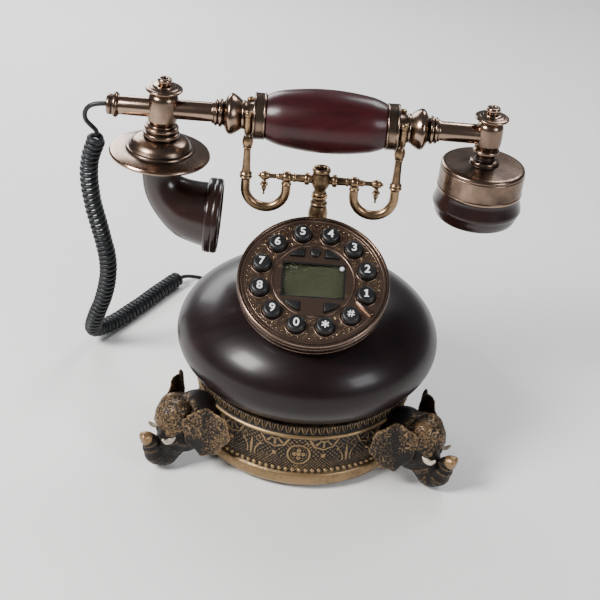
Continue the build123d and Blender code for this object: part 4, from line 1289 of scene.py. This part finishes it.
def plinthRelief(angle, z):
    v = plinthValues
    if z > 45.3:
        return leafRelief(angle, z)
    if z > 41.9 or z < 14.3:
        return 0
    pitch = math.tau / v["shells"]
    shellSide = ((angle / pitch) % 1 - 0.5) * pitch * v["wall"]
    place = angle / pitch + 0.5
    gapSide = (place % 1 - 0.5) * pitch * v["wall"]
    fade = min(1, (z - 14.3) / 0.8, (41.9 - z) / 0.5)
    height = shellRelief(shellSide, z)
    if height > 0.05:
        return height * fade
    if int(math.floor(place)) % 2 == 0:
        boss = medallionRelief(gapSide, z)
        if boss is not None:
            return boss
    else:
        height = fleurRelief(gapSide, z)
        if height > 0.05:
            return height * fade
    pearl = math.hypot(shellSide, z - 27.4)
    if pearl < 1.75:
        return math.sqrt(3.07 - pearl * pearl) * 0.8
    scale = 1.15 if z < 25.5 else 1.6
    across = abs(math.sin(math.pi * (shellSide + z) / (2 * scale)))
    along = abs(math.sin(math.pi * (shellSide - z) / (2 * scale)))
    if z < 25.5:
        return 0.62 * min(across, along) * fade
    return 0.62 * max(0, across * along - 0.15) * fade


def makePlinth():
    v = plinthValues
    profile = [(66.1, 1.6), (69.0, 1.6, 0.5), (72.8, 2.4, 1.4), (75.3, 5.2, 1.6), (75.9, 9.0, 1.8),
               (74.7, 12.6, 1.0),
               (73.1, 13.5, 0.3), (72.6, 22.0, 0), (72.0, 32.0, 0), (72.7, 41.2, 0.4), (74.2, 42.2, 0.3),
               (75.1, 43.0, 0.4), (74.9, 44.0, 0.4), (73.4, 45.0, 0.3), (71.4, 50.0, 0.2), (58.0, 50.0, 0),
               (58.0, 46.0, 0), (65.4, 40.0, 0), (65.4, 5.1, 0), (66.1, 5.1, 0)]
    bm = bmesh.new()
    roundedWire(bm, profile, True)
    carved = [edge for edge in bm.edges if edge.calc_length() > v["rowHeight"] * mm
              and all(vert.co.x > 71 * mm and vert.co.z > 13.3 * mm for vert in edge.verts)]
    for edge in carved:
        cuts = int(edge.calc_length() / (v["rowHeight"] * mm))
        bmesh.ops.subdivide_edges(bm, edges=[edge], cuts=cuts)
    bmesh.ops.spin(bm, geom=bm.verts[:] + bm.edges[:], cent=(0, 0, 0), axis=(0, 0, 1), angle=math.tau,
                   steps=v["turns"], use_merge=True)
    bmesh.ops.remove_doubles(bm, verts=bm.verts[:], dist=0.004 * mm)
    bmesh.ops.recalc_face_normals(bm, faces=bm.faces[:])
    gold = bm.verts.layers.float.new("relief")
    for vert in bm.verts:
        x, y, z = vert.co / mm
        radius = math.hypot(x, y)
        if radius < 70.8:
            continue
        if z < 13.6:
            vert[gold] = 0.78 if z > 4 else 0.5
        elif 42.4 < z < 44.6:
            vert[gold] = 0.9
        elif z < 49.8:
            angle = math.atan2(x, -y) % math.tau
            height = plinthRelief(angle, z)
            grain = 0.1 * noise.noise(vert.co * 900)
            push = (radius + height + grain) / radius
            vert.co.x *= push
            vert.co.y *= push
            vert[gold] = max(0, min(1, height * 0.95 - 0.02))
    newPiece("resinPlinth", bm, resinGilt, "base", ["resin_plinth"], 75)


def makeBeads():
    v = plinthValues
    forms = []
    for number in range(v["beads"]):
        angle = math.tau * number / v["beads"]
        bead = bmesh.new()
        bmesh.ops.create_icosphere(bead, subdivisions=2, radius=v["beadRadius"] * mm)
        bead.transform(Matrix.Rotation(angle, 4, "Z") @ Matrix.Translation((73.7 * mm, 0, v["beadZ"] * mm)))
        forms.append(bead)
    whole = joined(*forms)
    gold = whole.verts.layers.float.new("relief")
    for vert in whole.verts:
        vert[gold] = 0.8
    newPiece("plinthBeads", whole, resinGilt, "base", (), 80)


makePlinth()
makeBeads()
print("plinth made")


# elephants
elephantValues = {
    "azimuths": (213, -33, 90), "voxel": 0.75, "smoothing": 5, "scrollScale": 190, "scrollDepth": 0.4,
    "wrinkle": 0.3, "earHalf": (16.3, 19.8), "earCentre": (88.5, 22.8, 35.0), "earYaw": 57,
}
trunkPath = [(94, 0, 31), (99, 0, 24.0), (103.4, 0, 16.5), (107.6, 0, 10.9), (113, 0, 12.0), (116.2, 0, 17.4),
             (117.6, 0, 22.0), (119.6, 0, 25.6), (123.0, 0, 27.6)]
trunkRadii = [12.2, 11.8, 10.6, 9.8, 8.4, 6.7, 5.5, 4.9, 4.3]


def smoothPath(points, radii, parts):
    # points and radii along the smooth line through a few given ones
    line = []
    sizes = []
    for n in range(len(points) - 1):
        p0 = Vector(points[max(n - 1, 0)])
        p1 = Vector(points[n])
        p2 = Vector(points[n + 1])
        p3 = Vector(points[min(n + 2, len(points) - 1)])
        for part in range(parts):
            t = part / parts
            line.append(0.5 * (2 * p1 + (p2 - p0) * t + (2 * p0 - 5 * p1 + 4 * p2 - p3) * t * t
                               + (3 * p1 - p0 - 3 * p2 + p3) * t * t * t))
            sizes.append(radii[n] + (radii[n + 1] - radii[n]) * t)
    line.append(Vector(points[-1]))
    sizes.append(radii[-1])
    return line, sizes


def earPlace(side):
    # x along the ear's thickness, y outwards along it from the head, z up
    v = elephantValues
    x, y, z = v["earCentre"]
    return (Matrix.Translation((x * mm, side * y * mm, z * mm))
            @ Matrix.Rotation(math.radians(side * v["earYaw"]), 4, "Z"))


def earForm(side):
    v = elephantValues
    bm = bmesh.new()
    bmesh.ops.create_uvsphere(bm, u_segments=72, v_segments=36, radius=1)
    for vert in bm.verts:
        # on a unit ball: y across the ear, outwards from the head, z up and x its thickness
        across, up, thick = vert.co.y, vert.co.z, vert.co.x
        turn = math.atan2(up, across)
        reach = min(1, math.hypot(across, up))
        scallop = 1 + 0.05 * math.cos(7 * turn + 0.6) * reach ** 3
        width = v["earHalf"][0] * (1 + 0.1 * up - 0.16 * max(0, -up))
        cup = (3.0 + 4.5 * max(0, up)) * max(0, across + 0.1) ** 2 - 1.0 - 1.2 * (1 - reach)
        ruffle = 1.0 * math.sin(7 * turn + 0.7) * reach ** 4
        vert.co = Vector((thick * (1.3 + 1.7 * (1 - reach)) + cup + ruffle,
                          side * across * width * scallop, up * v["earHalf"][1] * scallop)) * mm
    bmesh.ops.recalc_face_normals(bm, faces=bm.faces[:])
    bm.transform(earPlace(side))
    return bm


def ovalForm(centre, size):
    place = Matrix.Translation(Vector(centre) * mm) @ Matrix.Diagonal((*size, 1))
    return ballForm(1, place, 24)


def scrollLines(place, scale):
    # curling ridges, where a slow noise passes its levels
    level = noise.noise(place * scale) * 2.3 + 0.35 * noise.noise(place * scale * 2.3)
    nearest = abs(level * 2 - round(level * 2))
    return max(0, 1 - nearest * 4.6)


def makeElephant():
    v = elephantValues
    line, sizes = smoothPath(trunkPath, trunkRadii, 4)
    forms = [ovalForm((84, 0, 36), (15.5, 15.0, 15.8)), ovalForm((100.5, 0, 38.5), (13.0, 12.8, 13.4)),
             ovalForm((100, 4.6, 43), (9.2, 7.8, 9.6)), ovalForm((100, -4.6, 43), (9.2, 7.8, 9.6)),
             ovalForm((92, 0, 24), (12.5, 13.0, 16)), ovalForm((98, 0, 23), (12, 12.4, 12)),
             sweptForm(line, sizes, 32), ovalForm((123.2, 0, 27.9), (2.4, 4.6, 3.3))]
    for side in (1, -1):
        forms.append(ovalForm((106.5, side * 8.4, 33.0), (4.6, 3.6, 3.8)))
        forms.append(ovalForm((109.4, side * 8.8, 31.8), (1.9, 1.8, 1.5)))
        forms.append(ovalForm((105.0, side * 7.4, 25.0), (5.4, 4.0, 4.2)))
        forms.append(ovalForm((91, side * 12, 35), (7, 7, 11)))
        forms.append(earForm(side))
    whole = joined(*forms)
    raw = bpy.data.meshes.new("elephantRaw")
    whole.to_mesh(raw)
    whole.free()
    thing = bpy.data.objects.new("elephantRaw", raw)
    scene.collection.objects.link(thing)
    remesh = thing.modifiers.new("remesh", "REMESH")
    remesh.mode = "VOXEL"
    remesh.voxel_size = v["voxel"] * mm
    bpy.context.view_layer.update()
    made = bpy.data.meshes.new_from_object(thing.evaluated_get(bpy.context.evaluated_depsgraph_get()))
    bpy.data.objects.remove(thing)
    bm = bmesh.new()
    bm.from_mesh(made)
    bpy.data.meshes.remove(made)
    for _ in range(v["smoothing"]):
        bmesh.ops.smooth_vert(bm, verts=bm.verts[:], factor=0.5, use_axis_x=True, use_axis_y=True,
                              use_axis_z=True)
    bm.normal_update()
    gold = bm.verts.layers.float.new("relief")
    turned = [earPlace(side).inverted() for side in (1, -1)]
    moves = []
    for vert in bm.verts:
        x, y, z = vert.co / mm
        nearest = min(range(len(line)),
                      key=lambda n: (line[n].x - x) ** 2 + (line[n].y - y) ** 2 + (line[n].z - z) ** 2)
        onTrunk = (line[nearest] - Vector((x, y, z))).length < sizes[nearest] + 1.2 and nearest > 4
        ear = turned[0 if y > 0 else 1] @ vert.co / mm
        edge = math.hypot(ear.y / 16.3, ear.z / 19.8)
        onEar = edge < 1.2 and abs(ear.x) < 12 and abs(y) > 11.5 and ear.y * y > -60
        if nearest >= len(line) - 4 and onTrunk:
            vert[gold] = 0.85 + 0.3 * (noise.noise(vert.co * 500))
            push = 0.1 * noise.noise(vert.co * 600)
        elif onTrunk or (z < 29 and not onEar):
            fold = math.cos(nearest * 1.5 + 1.2 * noise.noise(vert.co * 120))
            push = v["wrinkle"] * fold * (1 if onTrunk else 0.4)
            vert[gold] = 0.1 + 0.16 * max(0, fold) * (1 if onTrunk else 0)
        elif onEar:
            lines = scrollLines(vert.co, v["scrollScale"] * 1.1)
            push = v["scrollDepth"] * lines
            outward = max(0.25, min(1, 0.6 + ear.y * (1 if y > 0 else -1) / 14))
            vert[gold] = min(1, (0.3 + 0.5 * lines) * outward + 0.5 * max(0, edge - 0.8))
        else:
            dome = max(0, min(1, (z - 27) / 8)) * max(0, min(1, (x - 86) / 5))
            lines = scrollLines(vert.co, v["scrollScale"])
            push = v["scrollDepth"] * lines * dome
            vert[gold] = (0.3 + 0.6 * lines) * dome
        moves.append((vert, vert.normal * push * mm))
    for vert, move in moves:
        vert.co += move
    herd = []
    for azimuth in v["azimuths"]:
        copy = bm.copy()
        copy.transform(Matrix.Rotation(math.radians(azimuth), 4, "Z"))
        herd.append(copy)
    bm.free()
    newPiece("elephantHeads", joined(*herd), elephantGilt, "base", ["elephant_heads"], 70)
    tusks = []
    for azimuth in v["azimuths"]:
        for side in (1, -1):
            points = [(103, side * 7.4, 28.2), (107.6, side * 9.4, 26.6), (111.4, side * 10.5, 27.2),
                      (114.0, side * 10.8, 30.0)]
            path, thick = smoothPath(points, [2.4, 2.0, 1.6, 0.8], 4)
            tusk = joined(sweptForm(path, thick, 16), ovalForm(path[-1], (0.95, 0.95, 0.95)))
            tusk.transform(Matrix.Rotation(math.radians(azimuth), 4, "Z"))
            tusks.append(tusk)
    newPiece("elephantTusks", joined(*tusks), tuskIvory, "base", (), 60)


tuskIvory = finishWith("tuskIvory", orangePeel, 0.3, 0.15, {},
                       Tint=(0.72, 0.66, 0.55), Shade=(0.34, 0.27, 0.18), Wave_Scale=500, Figure_Scale=160,
                       Roughness=0.35)
makeElephant()
print("elephants made")


# underside and inner parts
def makeFelt():
    # short fibres: a soft nap that scatters light at its edges
    group, start, end = startGroup("nap", [
        ("Tint", "NodeSocketColor", (0.03, 0.05, 0.04, 1)),
        ("Shade", "NodeSocketColor", (0.01, 0.02, 0.015, 1)),
        ("Roughness", "NodeSocketFloat", 0.95),
    ], [("Color", "NodeSocketColor"), ("Roughness", "NodeSocketFloat"), ("Height", "NodeSocketFloat")])
    place = addNode(group, "ShaderNodeTexCoord").outputs["Object"]
    fibre = addNode(group, "ShaderNodeTexNoise", Scale=1300, Detail=5, Roughness=0.7, Distortion=2.5)
    group.links.new(place, fibre.inputs["Vector"])
    wear = addNode(group, "ShaderNodeTexNoise", Scale=25, Detail=3)
    group.links.new(place, wear.inputs["Vector"])
    share = addMath(group, "MULTIPLY", fibre.outputs["Fac"], addMath(group, "ADD", wear.outputs["Fac"], 0.4))
    group.links.new(addMix(group, share, start.outputs["Shade"], start.outputs["Tint"]), end.inputs["Color"])
    group.links.new(start.outputs["Roughness"], end.inputs["Roughness"])
    group.links.new(fibre.outputs["Fac"], end.inputs["Height"])
    return group


def makeUnderside():
    felt = finishWith("feltNap", makeFelt(), 0.8, 0.4, {"Sheen Weight": 0.4},
                      Tint=(0.05, 0.075, 0.06), Shade=(0.012, 0.02, 0.016))
    steel = finishWith("zincSteel", tarnish, 0.3, 0.06, {"Metallic": 1.0},
                       Bright=(0.62, 0.62, 0.6), Dark=(0.2, 0.2, 0.19), Cloud_Scale=200, Edge=0.8,
                       Tarnish=0.3, Roughness=0.3)
    board = finishWith("boardGreen", orangePeel, 0.25, 0.1, {"Coat Weight": 0.3},
                       Tint=(0.01, 0.085, 0.03), Shade=(0.006, 0.045, 0.017), Wave_Scale=600, Figure_Scale=260,
                       Roughness=0.35)
    clear = finishWith("plugPlastic", orangePeel, 0.15, 0.1, {"Coat Weight": 0.4, "Transmission Weight": 0.35},
                       Tint=(0.62, 0.62, 0.6), Shade=(0.5, 0.5, 0.48), Wave_Scale=400, Figure_Scale=120,
                       Roughness=0.2)
    black = finishWith("basePlastic", orangePeel, 0.5, 0.15, {},
                       Tint=(0.03, 0.029, 0.028), Shade=(0.02, 0.019, 0.019), Wave_Scale=1400,
                       Figure_Scale=200,
                       Roughness=0.48)
    paintNode("felt_pad", felt)
    paintNode("bottom_plate", black)
    paintNode("jack_sockets", black)
    paintNode("ringer", black)
    paintNode("bottom_screws", steel)
    paintNode("main_board", board)
    paintNode("keypad_board", board)
    paintNode("cord_plug", clear)


makeUnderside()
print("underside made")
